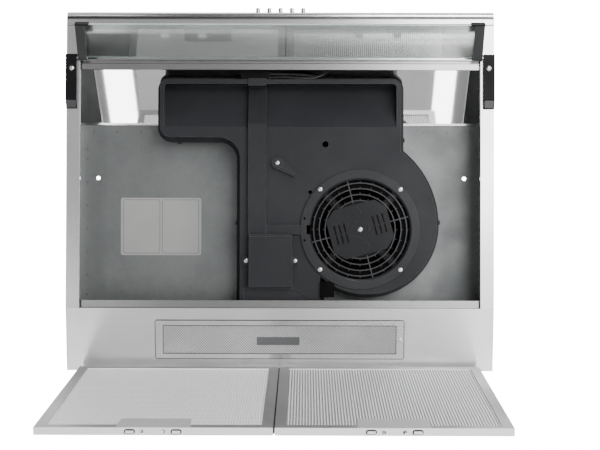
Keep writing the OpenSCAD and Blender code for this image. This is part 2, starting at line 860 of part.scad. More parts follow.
module fan_wheel() {
    top = wheel_z + wheel_h;
    blade_r = wheel_r - blade_w / 2;
    color([0.1, 0.1, 0.11]) at_frame() difference() {
        union() {
            difference() {
                post(fan_x, fan_y, wheel_r, wheel_z, wheel_z + 2);
                post(fan_x, fan_y, wheel_r - blade_w, wheel_z - 1, wheel_z + 3);
            }
            post(fan_x, fan_y, wheel_r, top - 2, top);
            post(fan_x, fan_y, 12, top - hub_h, top);
            for (k = [0:blade_count - 1]) translate([fan_x, fan_y, wheel_z + 1])
                rotate([0, 0, k * 360 / blade_count]) translate([blade_r, 0, 0])
                    rotate([0, 0, 30]) translate([-blade_w / 2 + 1, -0.7, 0])
                        cube([blade_w - 2, 1.4, wheel_h - 2]);
        }
        post(fan_x, fan_y, shaft_d / 2 + run / 2, wheel_z, top + 1);
    }
}

// Side outline of the wire duct, g in from its outer faces
module duct_outline(g) {
    front = manifold_y + lip_w;
    back = box_y - gap + (g > 0 ? 1 : 0);
    polygon([
        [fold_y - 4, floor_z - duct_t + g], [back, floor_z - duct_t + g],
        [back, floor_z + (g > 0 ? 1 : 0)], [fold_y, floor_z + (g > 0 ? 1 : 0)],
        [front + g, climb_z + (g > 0 ? 1 : 0)], [front + g, climb_z - duct_t - 1 + g]
    ]);
}

module duct_cover() {
    x1 = duct_x + duct_w;
    color([0.19, 0.19, 0.21]) at_frame() difference() {
        union() {
            along_x(duct_x, x1) duct_outline(0);
            slab(x1 - 1, fan_x - ring_r - gap, branch_y, branch_y + branch_w,
                floor_z - duct_t + 1, floor_z);
            slab(duct_x, x1, manifold_y - 1, manifold_y + lip_w, floor_z - 3, floor_z);
            slab(duct_x, x1, manifold_y + lip_w, manifold_y + lip_w + 3, floor_z - 3,
                climb_z - 2);
        }
        along_x(duct_x + duct_wall, x1 - duct_wall) duct_outline(duct_wall);
        slab(x1 - 2, fan_x - ring_r - 2, branch_y + duct_wall, branch_y + branch_w - duct_wall,
            floor_z - duct_t + 1 + duct_wall, floor_z + 1);
    }
}

module junction_cover() {
    x1 = box_x + box_w;
    mid = box_y + box_l / 2;
    color([0.2, 0.2, 0.22]) at_frame() difference() {
        union() {
            slab(box_x, x1, box_y, box_y + box_l, box_z, floor_z);
            slab(box_x, x1, box_y, box_y + 3, box_z - 1, box_z + 1);
            slab(box_x - box_tab - 1, x1 + box_tab + 1, mid - 5.5, mid + 5.5,
                floor_z - 3, floor_z);
        }
        slab(box_x + 1.6, x1 - 1.6, box_y + 1.6, box_y + box_l - 1.6, box_z + 1.6, floor_z + 1);
        for (x = [box_x - box_tab / 2, x1 + box_tab / 2])
            post(x, mid, screw_r + run, floor_z - 5, floor_z + 1);
    }
}

module capacitor() {
    color([0.85, 0.84, 0.78]) at_frame()
        slab(box_x + 8, box_x + 48, box_y + 42, box_y + 64, box_z + 2.4, floor_z);
}

module terminal_block() {
    n = 5;
    pitch = 9;
    color([0.9, 0.9, 0.88]) at_frame() difference() {
        slab(box_x + 8, box_x + 8 + n * pitch, box_y + 10, box_y + 30, box_z + 3, floor_z);
        for (i = [0:n - 1], y = [15, 25])
            post(box_x + 8 + pitch * (i + 0.5), box_y + y, 1.8, box_z + 2, box_z + 8);
    }
}

module harness_connector() {
    color([0.08, 0.08, 0.09]) at_frame() difference() {
        translate([0, plug_y, 0]) rotate([-90, 0, 0]) linear_extrude(plug_d)
            polygon([[duct_x - 11, -plug_z], [duct_x - 2, -plug_z - 12],
                [plug_end, -plug_z - 12], [plug_end, -plug_z]]);
        for (i = [0:2])
            slab(plug_end - 8 - i * 9, plug_end - 4 - i * 9, plug_y - 1, plug_y + 1,
                plug_z - 1, plug_z + 5);
    }
}

// Rings of 8 points square to a route, and the tube through them
function unit(v) = v / norm(v);
function heading(p, i) = unit(p[min(i + 1, len(p) - 1)] - p[max(i - 1, 0)]);
function ring_at(p, i, r, n) =
    let (d = heading(p, i), u = unit(cross([0.2, 0.1, 1], d)), v = cross(d, u))
    [for (k = [0:n - 1]) p[i] + r * (cos(360 * k / n) * u + sin(360 * k / n) * v)];

module tube(p, r, n = 8) {
    m = len(p);
    points = [for (i = [0:m - 1]) each ring_at(p, i, r, n)];
    walls = [for (i = [0:m - 2], k = [0:n - 1], t = [0, 1])
        let (a = i * n + k, b = i * n + (k + 1) % n)
        t == 0 ? [a, a + n, b + n] : [a, b + n, b]];
    caps = [for (k = [1:n - 2]) each [
        [0, k, k + 1], [(m - 1) * n, (m - 1) * n + k + 1, (m - 1) * n + k]
    ]];
    polyhedron(points, concat(walls, caps), convexity = 6);
}

module harness_cables() {
    color([0.05, 0.05, 0.06]) at_frame() {
        tube(cable_a, cable_d / 2);
        tube(cable_b, cable_d / 2);
    }
}

module cable_clamp() {
    y0 = fan_y + 74;
    color([0.07, 0.07, 0.08]) at_frame() difference() {
        slab(neck_rear_x, neck_rear_x + 20, y0, y0 + 22, floor_z - 4, floor_z + 15);
        post(fan_x, fan_y, ring_r + gap, floor_z - 6, floor_z + 1);
        translate([0, 0, floor_z]) linear_extrude(20) casing_plan(0);
    }
}

// Selector: lever outside, spindle through the floor, shutter under the outlet
module selector_lever() {
    tip = 2.6;
    boss = 8;
    k = acos((boss - tip) / lever_l);
    color([0.24, 0.24, 0.26]) at_frame() translate([spindle_x, spindle_y, 0]) difference() {
        rotate([0, 0, lever_angle]) union() {
            translate([0, 0, floor_z - 6]) cylinder(h = 6 - gap, r = boss);
            translate([0, 0, floor_z - 6.8]) difference() {
                cylinder(h = 1, r = 5.2);
                translate([0, 0, -1]) cylinder(h = 3, r = 3.8);
            }
            translate([0, 0, floor_z - 5]) linear_extrude(4) {
                circle(boss);
                translate([lever_l, 0]) circle(tip);
                polygon([
                    [boss * cos(k), boss * sin(k)], [lever_l + tip * cos(k), tip * sin(k)],
                    [lever_l + tip * cos(k), -tip * sin(k)], [boss * cos(k), -boss * sin(k)]
                ]);
            }
            translate([9, -0.8, floor_z - 5.8]) cube([lever_l - 10, 1.6, 2]);
        }
        translate([0, 0, floor_z - 8]) cylinder(h = 10, r = screw_r + run);
    }
}

module lever_screw() {
    color([0.85, 0.85, 0.83]) at_frame()
        pan_screw(spindle_x, spindle_y, floor_z - 6, 12, 2.8);
}

module selector_shutter() {
    color([0.13, 0.13, 0.14]) at_frame() translate([spindle_x, spindle_y, 0]) difference() {
        union() {
            translate([0, 0, floor_z - gap]) cylinder(h = roof_in - gap - floor_z + gap, r = 4);
            translate([0, 0, roof_in - gap - shutter_t]) linear_extrude(shutter_t)
                quarters(0, shutter_r, 90, 3);
            translate([0, 0, roof_in - gap - 8]) cylinder(h = 8, r = hub_r - 2);
        }
        translate([0, 0, floor_z - 1]) cylinder(h = 14, r = screw_r + run);
    }
}

module outlet_collar() {
    color([0.16, 0.16, 0.17]) at_frame() {
        translate([spindle_x, spindle_y, 0]) difference() {
            union() {
                translate([0, 0, collar_z]) cylinder(h = 2, r = pad_r);
                translate([0, 0, body_h]) cylinder(h = collar_t, r = collar_r);
                translate([0, 0, collar_z]) cylinder(h = spigot_h + sheet + collar_t, r = spigot_r);
            }
            translate([0, 0, collar_z - 1]) cylinder(h = spigot_h + 5, r = outlet_r);
        }
        translate([spindle_x - outlet_r, spindle_y, flap_z]) rotate([0, 90, 0])
            cylinder(h = 2 * outlet_r, r = flap_rod_r);
        // Stops that the flaps lie on
        translate([spindle_x, spindle_y, flap_z - 3]) for (s = [-1, 1])
            translate([-5, s * (outlet_r - 2) - 2, 0]) cube([10, 4, 2]);
    }
}

// Half disc on the rod; knuckles sit at the given places along it
module backdraft_flap(side, places) {
    r = outlet_r - 1.2;
    barrel = 2.6;
    translate([spindle_x, spindle_y, flap_z]) difference() {
        union() {
            intersection() {
                translate([0, 0, -0.5]) cylinder(h = 1, r = r);
                translate([-100, side > 0 ? 3.2 : -103.2, -1]) cube([200, 100, 2]);
            }
            for (x = places) {
                translate([x - 5, 0, 0]) rotate([0, 90, 0]) cylinder(h = 10, r = barrel);
                translate([x - 5, side > 0 ? 1.6 : -4.6, -0.5]) cube([10, 3, 1]);
            }
        }
        translate([-100, 0, 0]) rotate([0, 90, 0]) cylinder(h = 200, r = flap_rod_r + run);
    }
}

module front_backdraft_flap() {
    color([0.3, 0.3, 0.31]) at_frame() backdraft_flap(-1, [-38, 14]);
}

module rear_backdraft_flap() {
    color([0.3, 0.3, 0.31]) at_frame() backdraft_flap(1, [-14, 38]);
}

// Switch block inside the nose, and its five buttons
module switch_block() {
    w = 2 * button_pitch + 14;
    color([0.1, 0.1, 0.11]) at_frame() difference() {
        union() {
            slab(-w, w, block_y, block_y + block_l, block_z0, block_z1);
            slab(-w, w, sheet, block_y + 1, nose_r + 1, front_h - top_r - 1);
        }
        for (i = [-2:2]) translate([i * button_pitch, 0, button_z]) rotate([-90, 0, 0])
            cylinder(h = block_y + button_travel + 8, r = button_d / 2 + run);
    }
}

module push_button(i) {
    in = block_y + 6;
    color([0.85, 0.85, 0.87]) at_frame() translate([i * button_pitch, -button_out, button_z])
        rotate([-90, 0, 0]) {
            translate([0, 0, 0.8]) cylinder(h = button_out + in - 0.8, r = button_d / 2);
            cylinder(h = 0.8, r1 = button_d / 2 - 0.7, r2 = button_d / 2);
        }
}

module button_off() { push_button(-2); }
module button_speed_1() { push_button(-1); }
module button_speed_2() { push_button(0); }
module button_speed_3() { push_button(1); }
module button_light() { push_button(2); }

module lamp_frame() {
    e = lamp_l / 2;
    color([0.72, 0.72, 0.72]) at_frame() on_lamp_panel() difference() {
        union() {
            slab(-e, e, lamp_s, lamp_s + lamp_w, -frame_t, 0);
            slab(-e + 5.4, e - 5.4, lamp_s + 5.4, lamp_s + lamp_w - 5.4, 0, 4);
        }
        slab(-e + lamp_border, e - lamp_border, lamp_s + lamp_border / 2 + 1.4,
            lamp_s + lamp_w - lamp_border / 2 - 1.4, -frame_t - 1, 5);
        post(e - 5, lamp_s + lamp_w / 2, 1.2 + run, -5, 6);
    }
}

module lamp_lens() {
    e = lamp_l / 2 - lamp_border - 0.2;
    inset = lamp_border / 2 + 1.6;
    color([0.88, 0.9, 0.9, 0.8]) at_frame() on_lamp_panel()
        slab(-e, e, lamp_s + inset, lamp_s + lamp_w - inset, -frame_t + 0.4, lens_t - frame_t + 0.4);
}

module lamp_box() {
    e = lamp_l / 2 - 7;
    w = lamp_box_wall;
    color([0.8, 0.8, 0.78]) at_frame() on_lamp_panel() difference() {
        union() {
            slab(-e, e, lamp_s + 7, lamp_s + lamp_w - 7, 4, lamp_box_h);
            slab(-e - 6, e + 6, lamp_s + 1, lamp_s + lamp_w - 1, 4, 4 + w);
        }
        slab(-e + w, e - w, lamp_s + 7 + w, lamp_s + lamp_w - 7 - w, 3, lamp_box_h - w);
        post(lamp_l / 2 - 5, lamp_s + lamp_w / 2, 1.2 + run, 0, 8);
    }
}

module lamp_holder() {
    e = lamp_l / 2 - 7 - lamp_box_wall;
    color([0.92, 0.92, 0.9]) at_frame() on_lamp_panel()
        translate([e - 34, lamp_s + lamp_w / 2, bulb_n]) rotate([0, 90, 0]) difference() {
            union() {
                cylinder(h = 34, r = 12);
                translate([0, 0, 30]) cylinder(h = 4, r = 16);
            }
            translate([0, 0, -1]) cylinder(h = 23, r = 8.2);
        }
}

module lamp_bulb() {
    e = lamp_l / 2 - 7 - lamp_box_wall;
    color([0.95, 0.93, 0.88]) at_frame() on_lamp_panel()
        translate([e - bulb_seat, lamp_s + lamp_w / 2, bulb_n]) rotate([0, 90, 0]) {
            translate([0, 0, -4]) cylinder(h = 24, r = 7.6);
            translate([0, 0, -18]) cylinder(h = 14.4, r1 = bulb_r, r2 = 8.4);
            translate([0, 0, -bulb_l]) cylinder(h = bulb_l - 17.8, r = bulb_r);
            translate([0, 0, -bulb_l]) sphere(r = bulb_r);
        }
}

// Centre of a filter's latch, for the left (-1) or right (1) filter
function latch_x(side) = side * (filter_w / 2 + 1);

// Swings a closed filter out and down to where it rests
module filter_at_rest() {
    translate([0, swing_y, swing_z]) rotate([filter_open, 0, 0])
        translate([0, -swing_y, -swing_z]) children();
}

module filter_frame(side) {
    x0 = side > 0 ? 1 : -1 - filter_w;
    x1 = x0 + filter_w;
    lx = latch_x(side);
    z1 = filter_z + filter_t;
    difference() {
        slab(x0, x1, filter_front, filter_end, filter_z, z1);
        slab(x0 + filter_bar, x1 - filter_bar, filter_front + filter_bar,
            filter_end - filter_bar, filter_z - 1, z1 + 1);
        // Channel that holds the mesh
        slab(x0 + filter_skin, x1 - filter_skin, filter_front + 12, filter_end - filter_skin,
            filter_z + filter_skin, z1 - filter_skin);
        // Room for the latch slide and slots for its tongues
        slab(lx - latch_gap / 2 - tongue_w, lx + latch_gap / 2 + tongue_w, filter_front + 1.2,
            filter_front + 13, filter_z + 2.2, filter_z + 2.2 + slide_t + 1);
        for (t = [-1, 1])
            slab(lx + t * latch_gap / 2 - tongue_w / 2 - 0.5,
                lx + t * latch_gap / 2 + tongue_w / 2 + 0.5, filter_front - 1, filter_front + 2,
                filter_z + 2.2, filter_z + 3.2 + slide_t);
        for (t = [-1, 1])
            translate([lx + t * latch_screw_x, filter_front - 1, filter_z + filter_t / 2])
                rotate([-90, 0, 0]) cylinder(h = 12, r = 1.2 + run);
        // Seat of the latch plate
        translate([lx, filter_front + 1 - run, z1 - sheet]) linear_extrude(2 * sheet)
            latch_plan(run);
    }
}

// Outline of the latch plate, g out from its edge
module latch_plan(g) {
    a = latch_w / 2 + g;
    polygon([[-a, 0], [a, 0], [a - 2, latch_d + 2 * g], [2 - a, latch_d + 2 * g]]);
}

// The outer layers of the mesh pack
module filter_mesh(side) {
    x0 = side > 0 ? 1 : -1 - filter_w;
    x1 = x0 + filter_w;
    color([0.8, 0.8, 0.8])
        for (z = [filter_z + filter_skin, filter_z + filter_t - filter_skin - mesh_t])
            slab(x0 + 2 * filter_skin, x1 - 2 * filter_skin, filter_front + 2 * filter_skin + 11,
                filter_end - 2 * filter_skin, z, z + mesh_t);
}

// Plate over the latch on the inner face of the filter
module latch_plate(side) {
    lx = latch_x(side);
    z = filter_z + filter_t - sheet;
    color([0.7, 0.7, 0.7]) difference() {
        translate([lx, filter_front + 1, z]) linear_extrude(sheet) latch_plan(0);
        translate([lx - 3, filter_front + 31, z - 1]) cube([6, 1.6, 3]);
    }
}

module latch_slide(side) {
    lx = latch_x(side);
    z = filter_z + 2.7;
    color([0.6, 0.6, 0.6]) {
        slab(lx - latch_gap / 2 - tongue_w / 2, lx + latch_gap / 2 + tongue_w / 2,
            filter_front + 2.2, filter_front + 7, z, z + slide_t);
        for (t = [-1, 1])
            slab(lx + t * latch_gap / 2 - tongue_w / 2, lx + t * latch_gap / 2 + tongue_w / 2,
                filter_front - tongue_out, filter_front + 4, z, z + slide_t);
    }
}

module latch_screws(side) {
    lx = latch_x(side);
    color([0.8, 0.8, 0.8]) for (t = [-1, 1])
        translate([lx + t * latch_screw_x, filter_front, filter_z + filter_t / 2]) rotate([-90, 0, 0]) {
            translate([0, 0, -0.9]) cylinder(h = 0.9, r = 2.4);
            cylinder(h = 1, r = 1.2);
        }
}

module left_filter_frame() {
    color([0.78, 0.78, 0.78]) at_frame() filter_at_rest() filter_frame(-1);
}

module left_filter_mesh() {
    at_frame() filter_at_rest() filter_mesh(-1);
}

module left_latch_plate() {
    at_frame() filter_at_rest() latch_plate(-1);
}

module left_latch_screws() {
    at_frame() filter_at_rest() latch_screws(-1);
}

module left_latch_slide() {
    at_frame() filter_at_rest() latch_slide(-1);
}

module right_filter_frame() {
    color([0.78, 0.78, 0.78]) at_frame() filter_at_rest() filter_frame(1);
}

module right_filter_mesh() {
    at_frame() filter_at_rest() filter_mesh(1);
}

module right_latch_plate() {
    at_frame() filter_at_rest() latch_plate(1);
}

module right_latch_screws() {
    at_frame() filter_at_rest() latch_screws(1);
}

module right_latch_slide() {
    at_frame() filter_at_rest() latch_slide(1);
}

front_panel();
visor_bay_panel();
left_side_panel();
right_side_panel();
rear_panel();
lamp_panel();
roof_plate();
front_rail();
rear_rail();
pan_screws();
visor_bracket_left();
visor_bracket_right();
visor_glass();
visor_arm_left();
visor_arm_right();
visor_pins();
lower_casing();
upper_casing();
casing_clips();
inlet_ring();
inlet_grille();
motor_plate();
motor();
motor_shaft();
fan_wheel();
duct_cover();
junction_cover();
capacitor();
terminal_block();
harness_connector();
harness_cables();
cable_clamp();
mains_gland();
selector_lever();
lever_screw();
selector_shutter();
outlet_collar();
front_backdraft_flap();
rear_backdraft_flap();
switch_block();
button_off();
button_speed_1();
button_speed_2();
button_speed_3();
button_light();
lamp_frame();
lamp_lens();
lamp_box();
lamp_holder();
lamp_bulb();
left_filter_frame();
left_filter_mesh();
left_latch_plate();
left_latch_screws();
left_latch_slide();
right_filter_frame();
right_filter_mesh();
right_latch_plate();
right_latch_screws();
right_latch_slide();
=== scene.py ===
import math

import bpy
from mathutils import Matrix, Vector


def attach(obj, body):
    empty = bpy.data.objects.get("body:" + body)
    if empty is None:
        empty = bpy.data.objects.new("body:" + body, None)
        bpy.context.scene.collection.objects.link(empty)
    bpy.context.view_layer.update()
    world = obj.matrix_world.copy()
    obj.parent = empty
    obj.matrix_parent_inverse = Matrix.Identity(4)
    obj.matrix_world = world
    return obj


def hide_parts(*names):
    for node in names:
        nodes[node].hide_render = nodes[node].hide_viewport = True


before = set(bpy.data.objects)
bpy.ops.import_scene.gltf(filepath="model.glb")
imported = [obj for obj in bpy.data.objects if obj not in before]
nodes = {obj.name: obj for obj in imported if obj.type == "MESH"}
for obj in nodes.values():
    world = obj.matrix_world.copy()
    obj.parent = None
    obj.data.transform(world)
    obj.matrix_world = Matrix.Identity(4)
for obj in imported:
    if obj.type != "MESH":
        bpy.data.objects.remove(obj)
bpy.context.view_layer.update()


# Studio: the hood hangs over a pale floor in soft light and is seen from straight below. Two
# broad panels right of the camera give the steel its bright side and weak ones its left side.
# Narrow strips before and behind the hood are what its inner slope and visor bay mirror.
LENS, SENSOR = 83.28, 36
EYE = (0.0367, 0.0955, -2.0385)
TILT, PAN, ROLL = -0.0133, 0.0043, 0.0024
FLOOR_WIDTH, FLOOR_LEVEL, FLOOR_GREY = 16, -3.2, 0.86
BOARD_PLACE, BOARD_SIZE, BOARD_GREY = (-0.87, -2.0, -1.7), (2.0, 1.9, 1), 0.03
MATT = 0.9
DIM_GLOW, CEILING_GLOW, BACKDROP_GLOW = 0.08, 0.9, 18.0
CEILING_FROM, CEILING_FULL = 0.12, 0.40
PLAIN_WHITE = (1, 1, 1, 1)

turn = Matrix.Rotation(ROLL, 3, "Z") @ Matrix.Rotation(PAN, 3, "Y") @ Matrix.Rotation(TILT, 3, "X")
axes = Matrix((turn[0], -turn[1], -turn[2])).transposed()
eye = bpy.data.objects.new("camera", bpy.data.cameras.new("camera"))
eye.data.lens = LENS
eye.data.sensor_width = SENSOR
eye.matrix_world = Matrix.Translation(EYE) @ axes.to_4x4()
bpy.context.scene.collection.objects.link(eye)
bpy.context.scene.camera = eye


def put(tree, kind, ins=None, **settings):
    """Adds a node with its settings and fills its inputs with numbers or with other outputs."""
    made = tree.nodes.new(kind)
    for key, value in settings.items():
        setattr(made, key, value)
    for key, value in (ins or {}).items():
        if isinstance(value, bpy.types.NodeSocket):
            tree.links.new(value, made.inputs[key])
        else:
            made.inputs[key].default_value = value
    return made


def reckoned(tree, operation, one, other):
    """A number made of two."""
    return put(tree, "ShaderNodeMath", {0: one, 1: other}, operation=operation).outputs[0]


def matt_board(name, width, place, grey):
    """A level matt square of the studio in one plain grey."""
    bpy.ops.object.select_all(action="DESELECT")
    bpy.ops.mesh.primitive_plane_add(size=width, location=place)
    board = bpy.context.object
    board.name = name
    paint = bpy.data.materials.new(name)
    paint.use_nodes = True
    face = paint.node_tree.nodes["Principled BSDF"].inputs
    face["Base Color"].default_value = (grey, grey, grey, 1)
    face["Roughness"].default_value = MATT
    board.data.materials.append(paint)
    return board


def panel_light(name, place, aim, width, height, glow):
    """A soft rectangular light at place, turned to aim; glow is how bright its face is."""
    lamp = bpy.data.lights.new(name, "AREA")
    lamp.shape = "RECTANGLE"
    lamp.size, lamp.size_y, lamp.energy = width, height, glow * math.pi * width * height
    obj = bpy.data.objects.new(name, lamp)
    obj.location = place
    obj.rotation_euler = (Vector(aim) - Vector(place)).to_track_quat("-Z", "Y").to_euler()
    obj.visible_camera = False
    bpy.context.scene.collection.objects.link(obj)


floor = matt_board("floor", FLOOR_WIDTH, (0, 0, FLOOR_LEVEL), FLOOR_GREY)

# A dark board before the hood, out of the picture, keeps the left of its nose dark
board = matt_board("dark board", 1, BOARD_PLACE, BOARD_GREY)
board.scale = BOARD_SIZE
board.visible_camera = False

# Each row: name, where it is, what it faces, width, height, glow
for row in (
    ("key, front right", (1.55, -0.64, -2.12), (1.55, -0.64, 0), 2.5, 1.38, 6.9),
    ("key, rear right", (1.45, 0.85, -2.12), (1.45, 0.85, 0), 2.3, 1.5, 2.3),
    ("left wall", (-1.55, -0.45, -2.12), (-1.55, -0.45, 0), 2.0, 1.5, 0.22),
    ("left corner", (-1.35, 0.90, -2.12), (-1.35, 0.90, 0), 1.7, 1.5, 1.2),
    ("front right wall", (1.9, -2.3, -0.9), (0.2, 0.0, -0.1), 2.4, 2.2, 3.0),
    ("left strip", (-0.450, 0.95, -1.2), (-0.450, 0.95, 0), 0.074, 0.5, 8.0),
    ("right strip", (0.397, 0.95, -1.2), (0.397, 0.95, 0), 0.054, 0.5, 8.0),
    ("between the strips", (-0.02, 0.95, -1.21), (-0.02, 0.95, 0), 0.77, 0.5, 0.28),
    ("front strip, left", (-0.57, -2.3, -0.53), (-0.57, 0, -0.53), 0.13, 0.8, 4.0),
    ("front strip, right", (0.48, -2.3, -0.53), (0.48, 0, -0.53), 0.62, 0.8, 14.0),
    ("rear wall", (0.0, 2.6, -0.35), (0.0, 0.0, -0.1), 4.4, 0.9, 2.5),
    ("top fill", (0.0, 0.4, 2.4), (0.0, 0.0, 0.0), 3.0, 3.0, 1.8),
    ("upper left", (-3.0, 0.2, 0.9), (0.0, 0.0, 0.0), 3.6, 1.4, 1.2),
    ("upper right", (3.0, 0.2, 0.9), (0.0, 0.0, 0.0), 3.6, 1.4, 1.2),
    ("upper rear", (0.0, 3.0, 0.7), (0.0, 0.0, 0.0), 3.6, 1.4, 1.2),
    ("upper front", (0.0, -3.0, 2.0), (0.0, 0.0, 0.0), 3.6, 1.4, 1.2),
):
    panel_light(*row)

# The surroundings are dim. The camera sees a white backdrop, and mirrors see a bright ceiling.
surround = bpy.data.worlds.new("studio")
surround.use_nodes = True
bpy.context.scene.world = surround
sky = surround.node_tree
sky.nodes.clear()
ray = put(sky, "ShaderNodeLightPath").outputs
way_out = put(sky, "ShaderNodeTexCoord").outputs["Generated"]
height = put(sky, "ShaderNodeSeparateXYZ", {0: way_out}).outputs["Z"]
rise = {"Value": height, "From Min": CEILING_FROM, "From Max": CEILING_FULL, "To Max": CEILING_GLOW}
ceiling = put(sky, "ShaderNodeMapRange", rise).outputs[0]
mirrored = reckoned(sky, "MULTIPLY", ceiling, ray["Is Glossy Ray"])
level = reckoned(sky, "ADD", mirrored, DIM_GLOW)
glow = put(sky, "ShaderNodeBackground", {"Color": PLAIN_WHITE, "Strength": level})
backdrop = put(sky, "ShaderNodeBackground", {"Color": PLAIN_WHITE, "Strength": BACKDROP_GLOW})
seen = {0: ray["Is Camera Ray"], 1: glow.outputs[0], 2: backdrop.outputs[0]}
chosen = put(sky, "ShaderNodeMixShader", seen)
put(sky, "ShaderNodeOutputWorld", {"Surface": chosen.outputs[0]})


# Outer body: 1 mm stainless sheet, brushed along its length, folded and spot-welded. The same
# sheet has its bright mill side inwards, which shows behind the filters. Each panel is the CAD
# solid with its cut edges broken by 0.3 or 0.4 mm; thin dark strips along the rails paint the
# shade in the creases of their folded seams.
MM = 0.001
FORE, DOWN = 231.0, 94.0  # mm from the front edge and the rim to the frame's origin
ONE_PLACE, ONE_PLANE = 0.00001, 0.5
SMOOTH_BELOW = 21
DULLER, GLOSSIER = 1.25, 0.8
LEANING, UPRIGHT, BROAD = 0.3, 0.9, 0.002
SEAM_WIDTH, SEAM_THICK, SEAM_TOP = 0.9, 0.2, 10.1


def only(obj):
    """Leaves obj as the one selected and active object."""
    bpy.ops.object.select_all(action="DESELECT")
    obj.select_set(True)
    bpy.context.view_layer.objects.active = obj


def worked(node, name, edge, steps=2, sharp=28):
    """A copy of a CAD node with its triangles merged and its edges rounded to edge mm."""
    obj = bpy.data.objects.new(name, nodes[node].data.copy())
    bpy.context.scene.collection.objects.link(obj)
    obj.data.materials.clear()
    only(obj)
    bpy.ops.object.mode_set(mode="EDIT")
    bpy.ops.mesh.select_all(action="SELECT")
    bpy.ops.mesh.remove_doubles(threshold=ONE_PLACE)
    bpy.ops.mesh.dissolve_limited(angle_limit=math.radians(ONE_PLANE))
    bpy.ops.object.mode_set(mode="OBJECT")
    if edge:
        cut = obj.modifiers.new("edges", "BEVEL")
        cut.width = edge * MM
        cut.segments = steps
        cut.limit_method = "ANGLE"
        cut.angle_limit = math.radians(sharp)
        bpy.ops.object.modifier_apply(modifier="edges")
    bpy.ops.object.shade_smooth_by_angle(angle=math.radians(SMOOTH_BELOW))
    if edge:
        true = obj.modifiers.new("flat faces stay flat", "WEIGHTED_NORMAL")
        true.mode = "FACE_AREA"
        true.weight = 100
        true.keep_sharp = True
        bpy.ops.object.modifier_apply(modifier="flat faces stay flat")
    return obj


def fitted(obj, body, slot, *materials):
    """Gives a finished piece its body and its materials; slot is not used."""
    obj.data.materials.clear()
    for material in materials:
        obj.data.materials.append(material)
    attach(obj, body)
    return obj


def dressed(node, body, slot, edge, *materials, steps=2, sharp=28):
    """The worked copy of a node, standing for it."""
    obj = fitted(worked(node, node + "_piece", edge, steps, sharp), body, slot, *materials)
    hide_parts(node)
    return obj


def hoop(name, width, depth, thick, band=0, corner=0, steps=4):
    """A flat hoop round the origin in mm, thickened along z: a plane with rounded corners,
    inset, opened and drawn out. A band of 0 leaves the plate closed."""
    bpy.ops.object.select_all(action="DESELECT")
    bpy.ops.mesh.primitive_plane_add(size=MM)
    obj = bpy.context.object
    obj.name = name
    bpy.ops.object.mode_set(mode="EDIT")
    bpy.ops.mesh.select_all(action="SELECT")
    bpy.ops.transform.resize(value=(width, depth, 1))
    if corner:
        bpy.ops.mesh.bevel(offset=corner * MM, segments=steps, affect="VERTICES")
        bpy.ops.mesh.select_all(action="SELECT")
    if band:
        bpy.ops.mesh.inset(thickness=band * MM)
        bpy.ops.mesh.delete(type="FACE")
        bpy.ops.mesh.select_all(action="SELECT")
    bpy.ops.mesh.extrude_region_move(TRANSFORM_OT_translate={"value": (0, 0, thick * MM)})
    bpy.ops.mesh.select_all(action="SELECT")
    bpy.ops.mesh.normals_make_consistent(inside=False)
    bpy.ops.object.mode_set(mode="OBJECT")
    return obj


def at(x, y, z):
    """The place in metres for one in mm from the hood's front edge and rim."""
    return x * MM, (y - FORE) * MM, (z - DOWN) * MM


def moved(obj, x, y, z, turned=None):
    """Carries a finished mesh to such a place, turned first where a rotation is given."""
    place = Matrix.Translation(at(x, y, z))
    obj.data.transform(place @ turned.to_4x4() if turned else place)
    return obj


def twin_of(obj):
    """A second object with a mesh of its own."""
    twin = obj.copy()
    twin.data = obj.data.copy()
    bpy.context.scene.collection.objects.link(twin)
    return twin


def copies(obj, places):
    """Copies of a mesh, each given by a matrix, joined to one piece with the first."""
    twins = [twin_of(obj) for _ in places[1:]]
    for one, place in zip([obj] + twins, places):
        one.data.transform(place)
    only(obj)
    for twin in twins:
        twin.select_set(True)
    bpy.ops.object.join()
    return obj


def sockets(tree, ins, outs):
    """Opens a node group's named inputs and outputs."""
    for name, kind, value in ins:
        socket = tree.interface.new_socket(name, in_out="INPUT", socket_type=kind)
        if value is not None:
            socket.default_value = value
    for name, kind in outs:
        tree.interface.new_socket(name, in_out="OUTPUT", socket_type=kind)
    return tree.nodes.new("NodeGroupInput").outputs, tree.nodes.new("NodeGroupOutput").inputs


# Brush marks: noise drawn out along the sheet by the stretched coordinates that come in
brush_marks = bpy.data.node_groups.new("brush marks", "ShaderNodeTree")
given, made = sockets(
    brush_marks,
    [("Vector", "NodeSocketVector", None), ("Depth", "NodeSocketFloat", 0.1)],
    [("Tone", "NodeSocketFloat"), ("Normal", "NodeSocketVector")],
)
streaks = {"Vector": given["Vector"], "Scale": 1.0, "Detail": 5.0, "Roughness": 0.65}
marks = put(brush_marks, "ShaderNodeTexNoise", streaks).outputs[0]
raised = {"Height": marks, "Strength": given["Depth"], "Distance": 0.0006}
ridge = put(brush_marks, "ShaderNodeBump", raised)
brush_marks.links.new(marks, made["Tone"])
brush_marks.links.new(ridge.outputs[0], made["Normal"])

# Smudges: broad soft patches where hands and film have dulled a surface
smudges = bpy.data.node_groups.new("smudges", "ShaderNodeTree")
given, made = sockets(
    smudges,
    [("Vector", "NodeSocketVector", None), ("Size", "NodeSocketFloat", 9.0)],
    [("Tone", "NodeSocketFloat")],
)
blots = {"Vector": given["Vector"], "Scale": given["Size"], "Detail": 3.0, "Roughness": 0.55}
patch = put(smudges, "ShaderNodeTexNoise", blots).outputs[0]
spread = put(smudges, "ShaderNodeMapRange", {"Value": patch, "From Min": 0.35, "From Max": 0.68})
smudges.links.new(spread.outputs[0], made["Tone"])


def shared(tree, group, **ins):
    """The outputs of a shared effect in a material."""
    return put(tree, "ShaderNodeGroup", ins, node_tree=group).outputs


